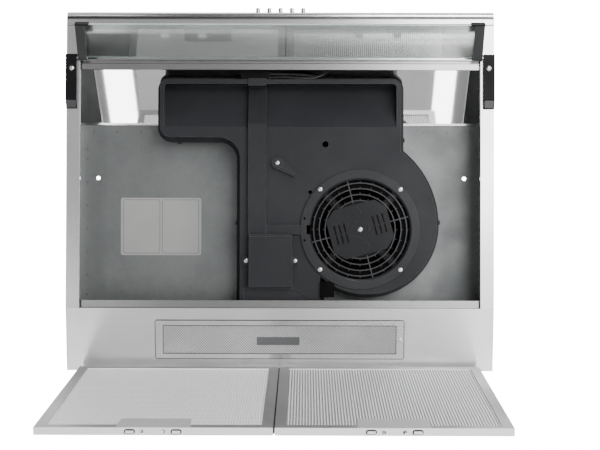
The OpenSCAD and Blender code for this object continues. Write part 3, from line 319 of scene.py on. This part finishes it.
def mixed(tree, factor, dark, light):
    """A colour between two, by factor."""
    ins = {0: factor}
    for place, colour in ((6, dark), (7, light)):
        plain = isinstance(colour, tuple)
        ins[place] = (*colour, 1) if plain else colour
    return put(tree, "ShaderNodeMix", ins, data_type="RGBA").outputs[2]


def ranged(tree, value, low, high):
    """A number between low and high, by value."""
    ins = {"Value": value, "To Min": low, "To Max": high}
    return put(tree, "ShaderNodeMapRange", ins).outputs[0]


def fresh(name):
    """A new material, its tree, its surface's inputs and the piece's own coordinates."""
    material = bpy.data.materials.new(name)
    material.use_nodes = True
    tree = material.node_tree
    face = tree.nodes["Principled BSDF"].inputs
    return material, tree, face, put(tree, "ShaderNodeTexCoord").outputs["Object"]


def surfaced(tree, face, colour, rough, normal=None, **plain):
    """Joins colour, roughness and normal to the surface; the rest are plain numbers, under
    the input's name with its spaces written as underscores."""
    tree.links.new(colour, face["Base Color"])
    tree.links.new(rough, face["Roughness"])
    if normal is not None:
        tree.links.new(normal, face["Normal"])
    for key, value in plain.items():
        face[key.replace("_", " ")].default_value = value


def steel(name, dark, light, rough, stretch, depth, patches=7.0, metal=1.0):
    """Sheet metal with brush marks along the axis that stretch scales least."""
    material, tree, face, place = fresh(name)
    drawn = put(tree, "ShaderNodeMapping", {"Vector": place, "Scale": stretch})
    brushed = shared(tree, brush_marks, Vector=drawn.outputs[0], Depth=depth)
    dulled = shared(tree, smudges, Vector=place, Size=patches)
    both = reckoned(tree, "ADD", brushed["Tone"], dulled["Tone"])
    half = reckoned(tree, "MULTIPLY", both, 0.5)
    colour = mixed(tree, half, dark, light)
    gloss = ranged(tree, half, rough * DULLER, rough * GLOSSIER)
    surfaced(tree, face, colour, gloss, brushed["Normal"], Metallic=metal)
    return material


def patchy(name, size, dark, light, dull, glossy, **plain):
    """A smooth material whose colour and gloss follow soft patches."""
    material, tree, face, place = fresh(name)
    tone = shared(tree, smudges, Vector=place, Size=size)["Tone"]
    surfaced(tree, face, mixed(tree, tone, dark, light), ranged(tree, tone, dull, glossy), **plain)
    return material


BRUSHED_X, BRUSHED_Y = (5, 900, 900), (900, 5, 900)
SHEET_DARK, SHEET_LIGHT = (0.58, 0.58, 0.575), (0.80, 0.80, 0.795)
along_x = steel("brushed stainless", SHEET_DARK, SHEET_LIGHT, 0.18, BRUSHED_X, 0.07)
along_y = steel("brushed stainless, sides", SHEET_DARK, SHEET_LIGHT, 0.20, BRUSHED_Y, 0.07)
lamp_steel = steel(
    "brushed stainless, lamp panel",
    (0.62, 0.62, 0.615),
    (0.84, 0.84, 0.835),
    rough=0.28,
    stretch=BRUSHED_X,
    depth=0.08,
)
mill_bright = steel(
    "bright mill side",
    (0.80, 0.80, 0.80),
    (0.92, 0.92, 0.915),
    rough=0.025,
    stretch=(12, 160, 160),
    depth=0.003,
    patches=14.0,
)
bay_steel = steel(
    "bay steel",
    (0.52, 0.52, 0.52),
    (0.66, 0.66, 0.655),
    rough=0.16,
    stretch=(8, 300, 300),
    depth=0.02,
    patches=14.0,
)
# The rails: the same stainless sheet in a darker colour, as painted shade on them
rail_steel_painted_shade = steel(
    "rail steel, painted shade",
    (0.30, 0.30, 0.30),
    (0.42, 0.42, 0.42),
    rough=0.20,
    stretch=(4, 500, 500),
    depth=0.09,
)
# Seam strips: thin dark strips along the rails, painted shade in the creases of the folded seams
seam_painted_shade = steel(
    "rail seam shade",
    (0.06, 0.06, 0.06),
    (0.12, 0.12, 0.12),
    rough=0.5,
    stretch=BRUSHED_X,
    depth=0.04,
)

front = dressed("front_panel", "hood", "stainless", 0.4, along_x, mill_bright)
for side in front.data.polygons:
    side.material_index = int(side.normal.y > LEANING and side.normal.z < -LEANING)
for node, inwards in (("left_side_panel", 1), ("right_side_panel", -1)):
    panel = dressed(node, "hood", "stainless", 0.3, along_y, mill_bright)
    for side in panel.data.polygons:
        side.material_index = int(side.normal.x * inwards > UPRIGHT and side.area > BROAD)
dressed("lamp_panel", "hood", "stainless", 0.3, lamp_steel)
for node in ("front_rail", "rear_rail"):
    dressed(node, "hood", "stainless", 0.3, rail_steel_painted_shade)
for name, length, y in (("front_rail_seam_shade", 590, 72.8), ("rear_rail_seam_shade", 566, 417.3)):
    seam = moved(hoop(name, length, SEAM_WIDTH, -SEAM_THICK), 0, y, SEAM_TOP)
    fitted(seam, "hood", "stainless", seam_painted_shade)
dressed("visor_bay_panel", "hood", "polished_steel", 0.3, bay_steel)


# Roof and back: 1 mm zinc-plated sheet, satin, with the soft cloudy spangle of the plating.
# Rows of small round welds hold it to the flanges of the sides and of the front, and a round
# stamp is pressed into it, drawn as a thin dark ring: painted shade in its groove.
ROOF_UNDER = 93
FRONT_WELDS_X, FRONT_WELDS_Y = (-275, -241, -206, 208, 243, 277), 163
SIDE_WELDS_X, SIDE_WELDS_Y = (-285, 287), (189, 203, 237, 271, 305, 340, 373, 402)
WELD_WIDTH, STAMP_WIDTH, STAMP_X, STAMP_Y = 3.4, 15, -198.6, 187


def eased(obj, by):
    """Breaks all edges of a small solid by so many mm."""
    only(obj)
    bpy.ops.object.mode_set(mode="EDIT")
    bpy.ops.mesh.select_all(action="SELECT")
    bpy.ops.mesh.bevel(offset=by * MM, segments=1, affect="EDGES")
    bpy.ops.object.mode_set(mode="OBJECT")
    return obj


zinc, tree, face, place = fresh("zinc plate")
clouds = shared(tree, smudges, Vector=place, Size=16.0)["Tone"]
spangle = put(tree, "ShaderNodeTexVoronoi", {"Vector": place, "Scale": 210.0}).outputs["Distance"]
tone = reckoned(tree, "ADD", clouds, reckoned(tree, "MULTIPLY", spangle, 0.35))
dimples = {"Height": spangle, "Strength": 0.06, "Distance": 0.0004}
surfaced(
    tree,
    face,
    mixed(tree, tone, (0.14, 0.147, 0.147), (0.175, 0.182, 0.182)),
    ranged(tree, clouds, 0.50, 0.40),
    put(tree, "ShaderNodeBump", dimples).outputs[0],
    Metallic=0.85,
)
weld_marks_and_stamp_shade = steel(
    "weld marks and stamp shade",
    (0.05, 0.05, 0.05),
    (0.24, 0.24, 0.24),
    rough=0.45,
    stretch=(900, 900, 900),
    depth=0.05,
    patches=900.0,
)
dressed("roof_plate", "hood", "zinc_plate", 0, zinc)
dressed("rear_panel", "hood", "zinc_plate", 0.3, zinc)
weld = eased(hoop("roof_welds", WELD_WIDTH, WELD_WIDTH, -0.2, corner=1.2, steps=3), 0.12)
spots = [(x, FRONT_WELDS_Y) for x in FRONT_WELDS_X]
spots += [(x, y) for x in SIDE_WELDS_X for y in SIDE_WELDS_Y]
copies(weld, [Matrix.Translation(at(x, y, ROOF_UNDER)) for x, y in spots])
fitted(weld, "hood", "zinc_plate", weld_marks_and_stamp_shade)
# The stamp: a thin dark ring, painted shade in the pressed groove
stamp = hoop("roof_stamp", STAMP_WIDTH, STAMP_WIDTH, -0.12, band=0.5, corner=7.4, steps=8)
fitted(moved(stamp, STAMP_X, STAMP_Y, ROOF_UNDER), "hood", "zinc_plate", weld_marks_and_stamp_shade)


# Screws: plated pan heads with a cross recess, driven into the rims, brackets and casing.
# The recess and the head's rounded edge are in the solids; the plating is worn in small spots.
plating = patchy(
    "screw plating", 380.0, (0.52, 0.52, 0.51), (0.78, 0.78, 0.77), 0.32, 0.18, Metallic=1.0
)
dressed("pan_screws", "hood", "screw_steel", 0, plating)


# Visor brackets: moulded black plastic blocks screwed under the front ends of the rims. Fine
# spark-eroded grain, a little lighter along the handled edges, partly wear and partly painted
# highlight. Grey plates on the rear ends paint the light that falls on their chamfers.
LESS_GLOSS, MORE_GLOSS = 1.12, 0.85
END_X, END_Y, END_Z = 292.2, 132.0, -8.8
moulded_grain = bpy.data.node_groups.new("moulded grain", "ShaderNodeTree")
given, made = sockets(
    moulded_grain,
    [
        ("Vector", "NodeSocketVector", None),
        ("Fineness", "NodeSocketFloat", 1400.0),
        ("Depth", "NodeSocketFloat", 0.1),
    ],
    [("Tone", "NodeSocketFloat"), ("Normal", "NodeSocketVector")],
)
fine = {"Vector": given["Vector"], "Scale": given["Fineness"], "Detail": 2.0}
pits = put(moulded_grain, "ShaderNodeTexNoise", fine).outputs[0]
sunk = {"Height": pits, "Strength": given["Depth"], "Distance": 0.0004}
skin = put(moulded_grain, "ShaderNodeBump", sunk)
moulded_grain.links.new(pits, made["Tone"])
moulded_grain.links.new(skin.outputs[0], made["Normal"])

# Edge wear and painted highlight: edges made paler where the true normal leaves one that is
# rounded over a given width
edge_wear_and_highlight = bpy.data.node_groups.new("edge wear and highlight", "ShaderNodeTree")
given, made = sockets(
    edge_wear_and_highlight, [("Width", "NodeSocketFloat", 0.0006)], [("Mask", "NodeSocketFloat")]
)
rounded = put(edge_wear_and_highlight, "ShaderNodeBevel", {"Radius": given["Width"]}, samples=4).outputs[0]
flat = put(edge_wear_and_highlight, "ShaderNodeNewGeometry").outputs["True Normal"]
alike = put(edge_wear_and_highlight, "ShaderNodeVectorMath", {0: rounded, 1: flat}, operation="DOT_PRODUCT")
worn_and_lit = {"Value": alike.outputs["Value"], "From Min": 0.993, "From Max": 0.84}
edge_wear_and_highlight.links.new(put(edge_wear_and_highlight, "ShaderNodeMapRange", worn_and_lit).outputs[0], made["Mask"])


def moulding(
    name,
    dark,
    light,
    rough,
    fineness=1400.0,
    depth=0.12,
    edge=(0.10, 0.10, 0.105),
    wear=0.0005,
    shine=0.5,
):
    """Moulded plastic with fine grain, uneven gloss, and edges paler as wear and painted highlight.
    """
    material, tree, face, place = fresh(name)
    grain = shared(tree, moulded_grain, Vector=place, Fineness=fineness, Depth=depth)
    film = shared(tree, smudges, Vector=place, Size=11.0)["Tone"]
    rubbed_and_lit = shared(tree, edge_wear_and_highlight, Width=wear)["Mask"]
    body = mixed(tree, reckoned(tree, "MULTIPLY", grain["Tone"], film), dark, light)
    colour = mixed(tree, rubbed_and_lit, body, edge)
    gloss = ranged(tree, film, rough * LESS_GLOSS, rough * MORE_GLOSS)
    surfaced(tree, face, colour, gloss, grain["Normal"], Specular_IOR_Level=shine)
    return material


black_grained = moulding(
    "black moulding",
    (0.004, 0.004, 0.005),
    (0.011, 0.011, 0.012),
    rough=0.48,
    edge=(0.06, 0.06, 0.062),
    shine=0.12,
)
# Rear ends: grey plates painted lighter than the brackets, as painted light on the chamfers
end_painted_light = moulding(
    "bracket end, painted light",
    (0.045, 0.045, 0.047),
    (0.08, 0.08, 0.083),
    rough=0.42,
    edge=(0.14, 0.14, 0.145),
    shine=0.3,
)
for node in ("visor_bracket_left", "visor_bracket_right"):
    dressed(node, "hood", "black_plastic", 0.4, black_grained)
first_end = eased(hoop("bracket_end", 13.4, 10.6, -0.5, corner=1.6), 0.2)
for way, end in ((-1, first_end), (1, twin_of(first_end))):
    fitted(moved(end, way * END_X, END_Y, END_Z), "hood", "black_plastic", end_painted_light)


# Rating sticker: a printed film stuck on the inner face of the roof plate, left of the blower.
# It is left bare but for the fine rules round its two panels.
STICKER_X, STICKER_Y, STICKER_THICK = -176, 302, 0.12
RULES_X, RULE_LINE, RULE_THICK = (-204.5, -147.5), 0.7, 0.06
label_film = moulding(
    "sticker film",
    (0.30, 0.30, 0.295),
    (0.36, 0.36, 0.355),
    rough=0.45,
    fineness=900.0,
    depth=0.03,
    edge=(0.36, 0.36, 0.36),
)
ruled = moulding(
    "sticker rules",
    (0.10, 0.10, 0.10),
    (0.14, 0.14, 0.14),
    rough=0.5,
    fineness=900.0,
    depth=0.03,
    edge=(0.12, 0.12, 0.12),
)
sticker = hoop("sticker", 118, 84, -STICKER_THICK, corner=3)
fitted(moved(sticker, STICKER_X, STICKER_Y, ROOF_UNDER), "hood", "white_plastic", label_film)
rule = hoop("sticker_rule", 54, 79, -RULE_THICK, band=RULE_LINE, corner=3)
for x, line in zip(RULES_X, (rule, twin_of(rule))):
    moved(line, x, STICKER_Y, ROOF_UNDER - STICKER_THICK)
    fitted(line, "hood", "white_plastic", ruled)


# Visor: a strip of 4 mm float glass, polished on its long edges, bonded into two moulded
# arms that turn on steel pins in the brackets. The glass is green where light runs along it.
ARM_LEAN, PIN_Y, PIN_Z = 34.5, 66.5, -4.6
CAP_X, CAP_OUT, CAP_UP = 0.2735, -0.0516, -0.0042  # metres from the pins, along the arm
SAME_WAY = 0.99
clear = patchy(
    "clear glass",
    8.0,
    (0.90, 0.955, 0.94),
    (0.96, 0.985, 0.975),
    0.0,
    0.02,
    Transmission_Weight=1.0,
    IOR=2.0,
)
green_edge = patchy(
    "glass edge",
    60.0,
    (0.46, 0.66, 0.60),
    (0.66, 0.82, 0.77),
    0.22,
    0.12,
    Transmission_Weight=0.35,
)
pane = dressed("visor_glass", "visor", "visor_glass", 0.35, clear, green_edge)
wide = max(pane.data.polygons, key=lambda side: side.area).normal.copy()
for side in pane.data.polygons:
    side.material_index = int(abs(side.normal.dot(wide)) <= SAME_WAY)
arm_moulding = moulding(
    "arm moulding",
    (0.030, 0.030, 0.032),
    (0.055, 0.055, 0.058),
    rough=0.40,
    edge=(0.14, 0.14, 0.145),
    shine=0.3,
)
for node in ("visor_arm_left", "visor_arm_right"):
    dressed(node, "visor", "arm_plastic", 0.5, arm_moulding)
dressed("visor_pins", "visor", "shaft_steel", 0, plating)
lean = Matrix.Rotation(math.radians(ARM_LEAN), 3, "X")
first_cap = eased(hoop("arm_cap", 19.5, 2.2, 8.4, corner=0.6, steps=2), 0.3)
for way, cap in ((-1, first_cap), (1, twin_of(first_cap))):
    cap.data.transform(Matrix.Translation((way * CAP_X, CAP_OUT, CAP_UP)))
    fitted(moved(cap, 0, PIN_Y, PIN_Z, lean), "visor", "arm_plastic", black_grained)


# Blower casing: two charcoal mouldings joined at a flange and held by snap clips. Its large
# faces are semi-matt with a fine grain and a film of dust.
casing = moulding(
    "casing moulding",
    (0.020, 0.0205, 0.023),
    (0.034, 0.035, 0.038),
    rough=0.42,
    fineness=1100.0,
    depth=0.10,
    edge=(0.14, 0.143, 0.15),
    shine=0.14,
)
dressed("lower_casing", "hood", "casing_plastic", 0.6, casing, sharp=20)
dressed("upper_casing", "hood", "casing_plastic", 0.4, casing)
dressed("casing_clips", "hood", "casing_plastic", 0.3, casing)


# Inlet: a moulded ring screwed under the casing floor carries the round guard, whose rings
# and four spokes end at the plate that the motor hangs from. Short pips tie the rings.
HUB, PIP_SIZE = (0.1135, 0.0755, -0.0703), (2.4, 0.9, 1.6)
RING_RADII, PIP_STEP, FIRST_SPOKE = (67.8, 59.8, 51.5, 43.0), 15, 75
PALE_EDGE = (0.11, 0.112, 0.118)
guard = moulding(
    "guard moulding",
    (0.018, 0.0185, 0.020),
    (0.032, 0.033, 0.036),
    rough=0.36,
    fineness=1500.0,
    depth=0.08,
    edge=PALE_EDGE,
    wear=0.0004,
    shine=0.2,
)
plate_dark = moulding(
    "motor plate",
    (0.011, 0.0113, 0.0125),
    (0.021, 0.0215, 0.024),
    rough=0.38,
    fineness=1500.0,
    depth=0.08,
    edge=(0.075, 0.077, 0.082),
    wear=0.0004,
    shine=0.15,
)
# Guard rings and pips: the guard's plastic made lighter, as painted highlight on the rings' edges
rings_painted_light = moulding(
    "guard rings, painted light",
    (0.026, 0.0265, 0.029),
    (0.046, 0.047, 0.051),
    rough=0.34,
    fineness=1500.0,
    depth=0.06,
    edge=PALE_EDGE,
    wear=0.0004,
    shine=0.3,
)
dressed("inlet_ring", "hood", "casing_plastic", 0.3, guard)
dressed("motor_plate", "hood", "casing_plastic", 0.25, plate_dark)
bpy.ops.object.select_all(action="DESELECT")
bpy.ops.mesh.primitive_cube_add(size=MM)
pip = bpy.context.object
pip.name = "guard_pips"
bpy.ops.object.mode_set(mode="EDIT")
bpy.ops.mesh.select_all(action="SELECT")
bpy.ops.transform.resize(value=PIP_SIZE)
bpy.ops.object.mode_set(mode="OBJECT")
eased(pip, 0.2)
hub = Matrix.Translation(HUB)
places = []
for radius in RING_RADII:
    for angle in range(0, 360, PIP_STEP):
        if (angle - FIRST_SPOKE) % 90:
            out = Matrix.Translation((radius * MM, 0, 0))
            places.append(hub @ Matrix.Rotation(math.radians(angle), 4, "Z") @ out)
fitted(copies(pip, places), "hood", "casing_plastic", rings_painted_light)
dressed("inlet_grille", "hood", "casing_plastic", 0.2, rings_painted_light)


# Motor and fan: an enamelled steel motor can with its arms, a ground shaft, and a black
# moulded wheel whose blades run round behind the guard.
enamel = moulding(
    "motor enamel",
    (0.003, 0.003, 0.0035),
    (0.008, 0.008, 0.009),
    rough=0.38,
    fineness=700.0,
    depth=0.05,
    edge=(0.05, 0.05, 0.05),
    shine=0.12,
)
wheel_black = moulding(
    "wheel moulding",
    (0.001, 0.001, 0.001),
    (0.004, 0.004, 0.004),
    rough=0.5,
    edge=(0.006, 0.006, 0.006),
    shine=0.05,
)
dressed("motor", "hood", "motor_metal", 0.3, enamel)
dressed("motor_shaft", "fan", "shaft_steel", 0, plating)
dressed("fan_wheel", "fan", "black_plastic", 0, wheel_black)


# Wire duct and junction cover: charcoal mouldings over the wiring on the casing floor. The
# capacitor and the terminal block are white mouldings under them.
white = moulding(
    "white moulding",
    (0.60, 0.60, 0.58),
    (0.78, 0.78, 0.76),
    rough=0.35,
    fineness=900.0,
    depth=0.05,
    edge=(0.85, 0.85, 0.83),
)
dressed("duct_cover", "hood", "casing_plastic", 0.8, casing, steps=3, sharp=20)
dressed("junction_cover", "hood", "casing_plastic", 1.0, casing, steps=3)
for node in ("capacitor", "terminal_block"):
    dressed(node, "hood", "white_plastic", 0.3, white)


# Harness: a black two-part connector, and two round black cables that loop from it over the
# front wall of the casing to the switch block. Each route is in mm from front edge and rim.
CABLE = 0.0045
ROUTES = {
    "motor_cable": [
        (-16, 84.3, 41), (-8, 84.3, 41), (0, 84.3, 41.5), (8, 84.3, 42), (16, 84.3, 42),
        (24, 84.8, 42), (32, 85.3, 42), (40, 86.3, 42), (47, 87.3, 42.5), (53, 88.3, 43),
        (58, 86.9, 44), (62, 84, 45.5), (64, 80, 47), (64.5, 74.5, 48), (64, 68, 48),
        (63, 60, 46.5), (61, 51, 42.5), (59, 42, 37), (57, 34, 31), (55.5, 27, 25), (54, 21, 21),
        (52, 17, 19), (49, 15.5, 18), (46, 15.5, 18),
    ],
    "lamp_cable": [
        (-16, 89.8, 37), (-9, 89.8, 37), (-2, 89.3, 36.5), (5, 88.8, 36), (12, 89.3, 35.5),
        (19, 90.3, 35), (26, 90.6, 34.5), (33, 90.7, 34.5), (40, 90.6, 35), (47, 90.3, 36),
        (53, 88.6, 37), (59, 86.2, 38), (65, 82.3, 40), (69, 76.9, 43), (70.5, 71.4, 45),
        (71, 65, 45.5), (70.5, 58, 44.5), (69, 50, 41), (67, 42, 35.5), (64.5, 34, 29),
        (61.5, 27, 23), (58.5, 21, 17.5), (55.5, 15, 14.5), (52.5, 11, 13.5), (49.5, 9.5, 13.5),
        (46, 9.5, 13.5),
    ],
}
rubber, tree, face, place = fresh("cable rubber")
chalk = shared(tree, smudges, Vector=place, Size=90.0)["Tone"]
surfaced(
    tree,
    face,
    mixed(tree, chalk, (0.010, 0.010, 0.011), (0.024, 0.024, 0.025)),
    ranged(tree, chalk, 0.5, 0.34),
    shared(tree, moulded_grain, Vector=place, Fineness=2600.0, Depth=0.15)["Normal"],
)
dressed("harness_connector", "hood", "black_plastic", 0.4, black_grained)
for name, route in ROUTES.items():
    line = bpy.data.curves.new(name, "CURVE")
    line.dimensions = "3D"
    line.bevel_depth = CABLE / 2
    line.bevel_resolution = 4
    line.resolution_u = 4
    line.use_fill_caps = True
    line.materials.append(rubber)
    spline = line.splines.new("POLY")
    spline.points.add(len(route) - 1)
    points = [at(*spot) for spot in route]
    for point, spot in zip(spline.points, points):
        point.co = (*spot, 1)
        point.radius = 1
    spline.use_smooth = True
    cable = bpy.data.objects.new(name, line)
    bpy.context.scene.collection.objects.link(cable)
    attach(cable, "hood")
    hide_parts("harness_cables")


# Cable clamp and mains gland: black mouldings, the clamp beside the inlet ring on the
# casing's floor, the gland in the back of the roof plate where the mains lead goes in.
dressed("cable_clamp", "hood", "black_plastic", 0.5, wheel_black)
dressed("mains_gland", "hood", "black_plastic", 0.3, black_grained)


# Air selector: a charcoal lever under the casing floor on one cross-head screw turns the
# black shutter above it, between the outlet and the room.
dressed("selector_lever", "selector", "casing_plastic", 0.3, guard)
dressed("lever_screw", "selector", "screw_steel", 0, plating)
dressed("selector_shutter", "selector", "black_plastic", 0.2, black_grained)


# Outlet: a black moulded collar on the roof plate with a rod across it, on which the two
# half-round backdraft flaps turn.
dressed("outlet_collar", "hood", "black_plastic", 0.3, black_grained)
dressed("front_backdraft_flap", "front_flap", "black_plastic", 0.2, black_grained)
dressed("rear_backdraft_flap", "rear_flap", "black_plastic", 0.2, black_grained)


# Controls: a black switch block behind the front face and five turned, chromed buttons that
# stand out of it in a row.
chrome = patchy(
    "button chrome", 240.0, (0.34, 0.34, 0.345), (0.50, 0.50, 0.51), 0.13, 0.05, Metallic=1.0
)
dressed("switch_block", "hood", "black_plastic", 0.3, black_grained)
for button in ("off", "speed_1", "speed_2", "speed_3", "light"):
    dressed("button_" + button, button + "_button", "button_chrome", 0.3, chrome)


# Lamp: a pressed stainless frame clipped into the lamp panel holds a frosted prismatic
# lens and a blank label behind its edge; thin dark strips round the frame and the lens
# paint the shadow gaps there. Above it a white enamelled box carries the bulb in its holder.
LAMP_FRONT, LAMP_RISE, LAMP_DEPTH = 417.5, 14, 88.5
LENS_MID, LABEL_AT = 0.0445, (-0.002, 0.0465, -0.0013)  # metres up the slope from its front
PRISM_TILT, PRISM_TURN = 0.156, math.pi / 4
tilt = Matrix.Rotation(math.atan(LAMP_RISE / LAMP_DEPTH), 3, "X")
# Gap strips: dark strips round the frame and the lens, painted shade in the gaps there
lamp_gap_shade = moulding(
    "lamp gap shade",
    (0.05, 0.05, 0.05),
    (0.09, 0.09, 0.09),
    rough=0.6,
    fineness=900.0,
    depth=0.1,
    edge=(0.1, 0.1, 0.1),
    shine=0.2,
)
tag = moulding(
    "lamp label film",
    (0.09, 0.092, 0.094),
    (0.13, 0.132, 0.134),
    rough=0.4,
    fineness=900.0,
    depth=0.03,
    edge=(0.16, 0.16, 0.16),
    shine=0.3,
)
frosted, tree, face, place = fresh("prismatic lens")
lie = put(tree, "ShaderNodeMapping", {"Vector": place, "Rotation": (PRISM_TILT, 0, PRISM_TURN)})
grid = {"Vector": lie.outputs[0], "Scale": 400.0, "Randomness": 0.0}
prisms = put(tree, "ShaderNodeTexVoronoi", grid, voronoi_dimensions="2D").outputs["Distance"]
hatch = put(tree, "ShaderNodeBump", {"Height": prisms, "Strength": 0.8, "Distance": 0.002})
cloudy = shared(tree, smudges, Vector=place, Size=14.0)["Tone"]
shaded = mixed(tree, cloudy, (0.70, 0.705, 0.705), (0.90, 0.905, 0.905))
# Prism edges: the lens darker towards the edge of each prism, as painted shade in the grooves
prism_edge_shade = put(tree, "ShaderNodeMapRange", {"Value": prisms, "From Min": 0.30, "From Max": 0.58})
surfaced(
    tree,
    face,
    mixed(tree, prism_edge_shade.outputs[0], shaded, (0.27, 0.275, 0.275)),
    ranged(tree, prisms, 0.12, 0.34),
    hatch.outputs[0],
    Transmission_Weight=0.38,
)
opal = patchy("bulb glass", 50.0, (0.86, 0.85, 0.82), (0.93, 0.92, 0.90), 0.12, 0.22)

dressed("lamp_frame", "hood", "stainless", 0.5, along_x)
for name, width, depth, thick, band, corner, level in (
    ("frame_gap_shade", 350.4, 56.4, 0.5, 1.6, 3.0, -0.6),
    ("lens_gap_shade", 328.0, 41.2, 0.25, 1.1, 1.0, -1.35),
):
    line = hoop(name, width, depth, thick, band, corner)
    line.data.transform(Matrix.Translation((0, LENS_MID, level * MM)))
    fitted(moved(line, 0, LAMP_FRONT, 0, tilt), "hood", "black_plastic", lamp_gap_shade)
label = hoop("lamp_label", 60, 11.6, 0.15, corner=0.8)
label.data.transform(Matrix.Translation(LABEL_AT))
fitted(moved(label, 0, LAMP_FRONT, 0, tilt), "hood", "white_plastic", tag)
dressed("lamp_lens", "hood", "lens_plastic", 0.3, frosted)
dressed("lamp_box", "hood", "white_enamel", 0.3, white)
dressed("lamp_holder", "hood", "white_plastic", 0.3, white)
dressed("lamp_bulb", "hood", "bulb_glass", 0, opal)


# Grease filters: two cassettes of folded aluminium channel round layers of woven aluminium
# mesh. Each has a plate over its latch, a sprung slide with two tongues, and two screws. Dark
# rings line the tongues' slots and a dark strip fills the gap between the frames: painted shade.
HOOK_EDGE = Vector((0, 0.2275, -0.0499))
HANGING = 97
FRAME_MID, TONGUE_OFF_MID, SLOT_Y, SLOT_Z = 140, 27, 71.3, 4.8
GAP_X, FRAME_MID_Y, GAP_STRIP_Z = -0.1, 240, 1.2
FACING_DOWN = -0.95
DRAWN_X = (5, 700, 700)
channel = steel(
    "filter channel",
    (0.40, 0.40, 0.40),
    (0.52, 0.52, 0.52),
    rough=0.46,
    stretch=DRAWN_X,
    depth=0.06,
)
# The frames' downward faces and the sprung slides: near white and not metal, as painted light on
# the aluminium
channel_painted_light = steel(
    "filter channel, painted light",
    (0.95, 0.95, 0.95),
    (1.0, 1.0, 1.0),
    rough=0.5,
    stretch=DRAWN_X,
    depth=0.03,
    metal=0.0,
)
latch_paint = steel(
    "latch plate",
    (0.48, 0.48, 0.48),
    (0.56, 0.56, 0.56),
    rough=0.5,
    stretch=DRAWN_X,
    depth=0.03,
    metal=0.3,
)
# Dark rings in the slots and a dark strip in the gap between the frames: painted shade
slot_and_gap_shade = moulding(
    "slot shade", (0.006, 0.006, 0.006), (0.012, 0.012, 0.012), rough=0.4, shine=0.2
)


def weave(name, pitch_x, pitch_z, dark, light, shade, metal):
    """Woven or ribbed aluminium mesh with its pitches in mm."""
    material, tree, face, place = fresh(name)
    waves = []
    for axis, pitch, distortion in (("X", pitch_x, 0.4), ("Z", pitch_z, 0.6)):
        scale = math.pi / (10 * pitch * MM)  # such a wave repeats every pi / (10 * scale)
        ins = {"Vector": place, "Scale": scale, "Distortion": distortion, "Detail": 1.0}
        wave = put(tree, "ShaderNodeTexWave", ins, bands_direction=axis)
        waves.append(wave.outputs["Fac"])
    knots = reckoned(tree, "MULTIPLY", waves[1], shade)
    woven = reckoned(tree, "MAXIMUM", waves[0], knots)
    wire = put(tree, "ShaderNodeBump", {"Height": woven, "Strength": 0.7, "Distance": 0.001})
    colour, gloss = mixed(tree, woven, dark, light), ranged(tree, woven, 0.5, 0.3)
    surfaced(tree, face, colour, gloss, wire.outputs[0], Metallic=metal)
    return material


meshes = {
    "left": weave("fine mesh", 3.4, 6.6, (0.50, 0.50, 0.50), (1.0, 1.0, 1.0), 1.0, 0.0),
    "right": weave("ribbed mesh", 3.6, 1.8, (0.07, 0.07, 0.07), (0.96, 0.96, 0.96), 0.35, 0.2),
}
swing = Matrix.Rotation(math.radians(HANGING), 4, "X")
hung = Matrix.Translation(HOOK_EDGE) @ swing @ Matrix.Translation(-HOOK_EDGE)
model = hoop("shade ring model", 12.9, 6.1, 0.4, band=1.5, corner=3.0)
model.data.transform(Matrix.Rotation(math.pi / 2, 4, "X"))
for hand, way in (("left", -1), ("right", 1)):
    cassette, latch = hand + "_filter", hand + "_latch"
    cage = dressed(cassette + "_frame", cassette, "filter_aluminium", 0.4, channel, channel_painted_light)
    for side in cage.data.polygons:
        side.material_index = int(side.normal.z < FACING_DOWN)
    dressed(cassette + "_mesh", cassette, "filter_mesh", 0, meshes[hand])
    dressed(hand + "_latch_plate", cassette, "filter_aluminium", 0.3, latch_paint)
    dressed(hand + "_latch_screws", cassette, "screw_steel", 0, plating)
    dressed(hand + "_latch_slide", latch, "filter_aluminium", 0.3, channel_painted_light)
    for off_mid in (-TONGUE_OFF_MID, TONGUE_OFF_MID):
        ring = moved(twin_of(model), way * FRAME_MID + off_mid, SLOT_Y, SLOT_Z)
        ring.name = "slot_shade_ring"
        ring.data.transform(hung)
        fitted(ring, cassette, "black_plastic", slot_and_gap_shade)
bpy.data.objects.remove(model)
dark_gap_strip = hoop("filter_gap_shade", 1.7, 330, 7.6, corner=0.4, steps=2)
moved(dark_gap_strip, GAP_X, FRAME_MID_Y, GAP_STRIP_Z)
dark_gap_strip.data.transform(hung)
fitted(dark_gap_strip, "left_filter", "black_plastic", slot_and_gap_shade)
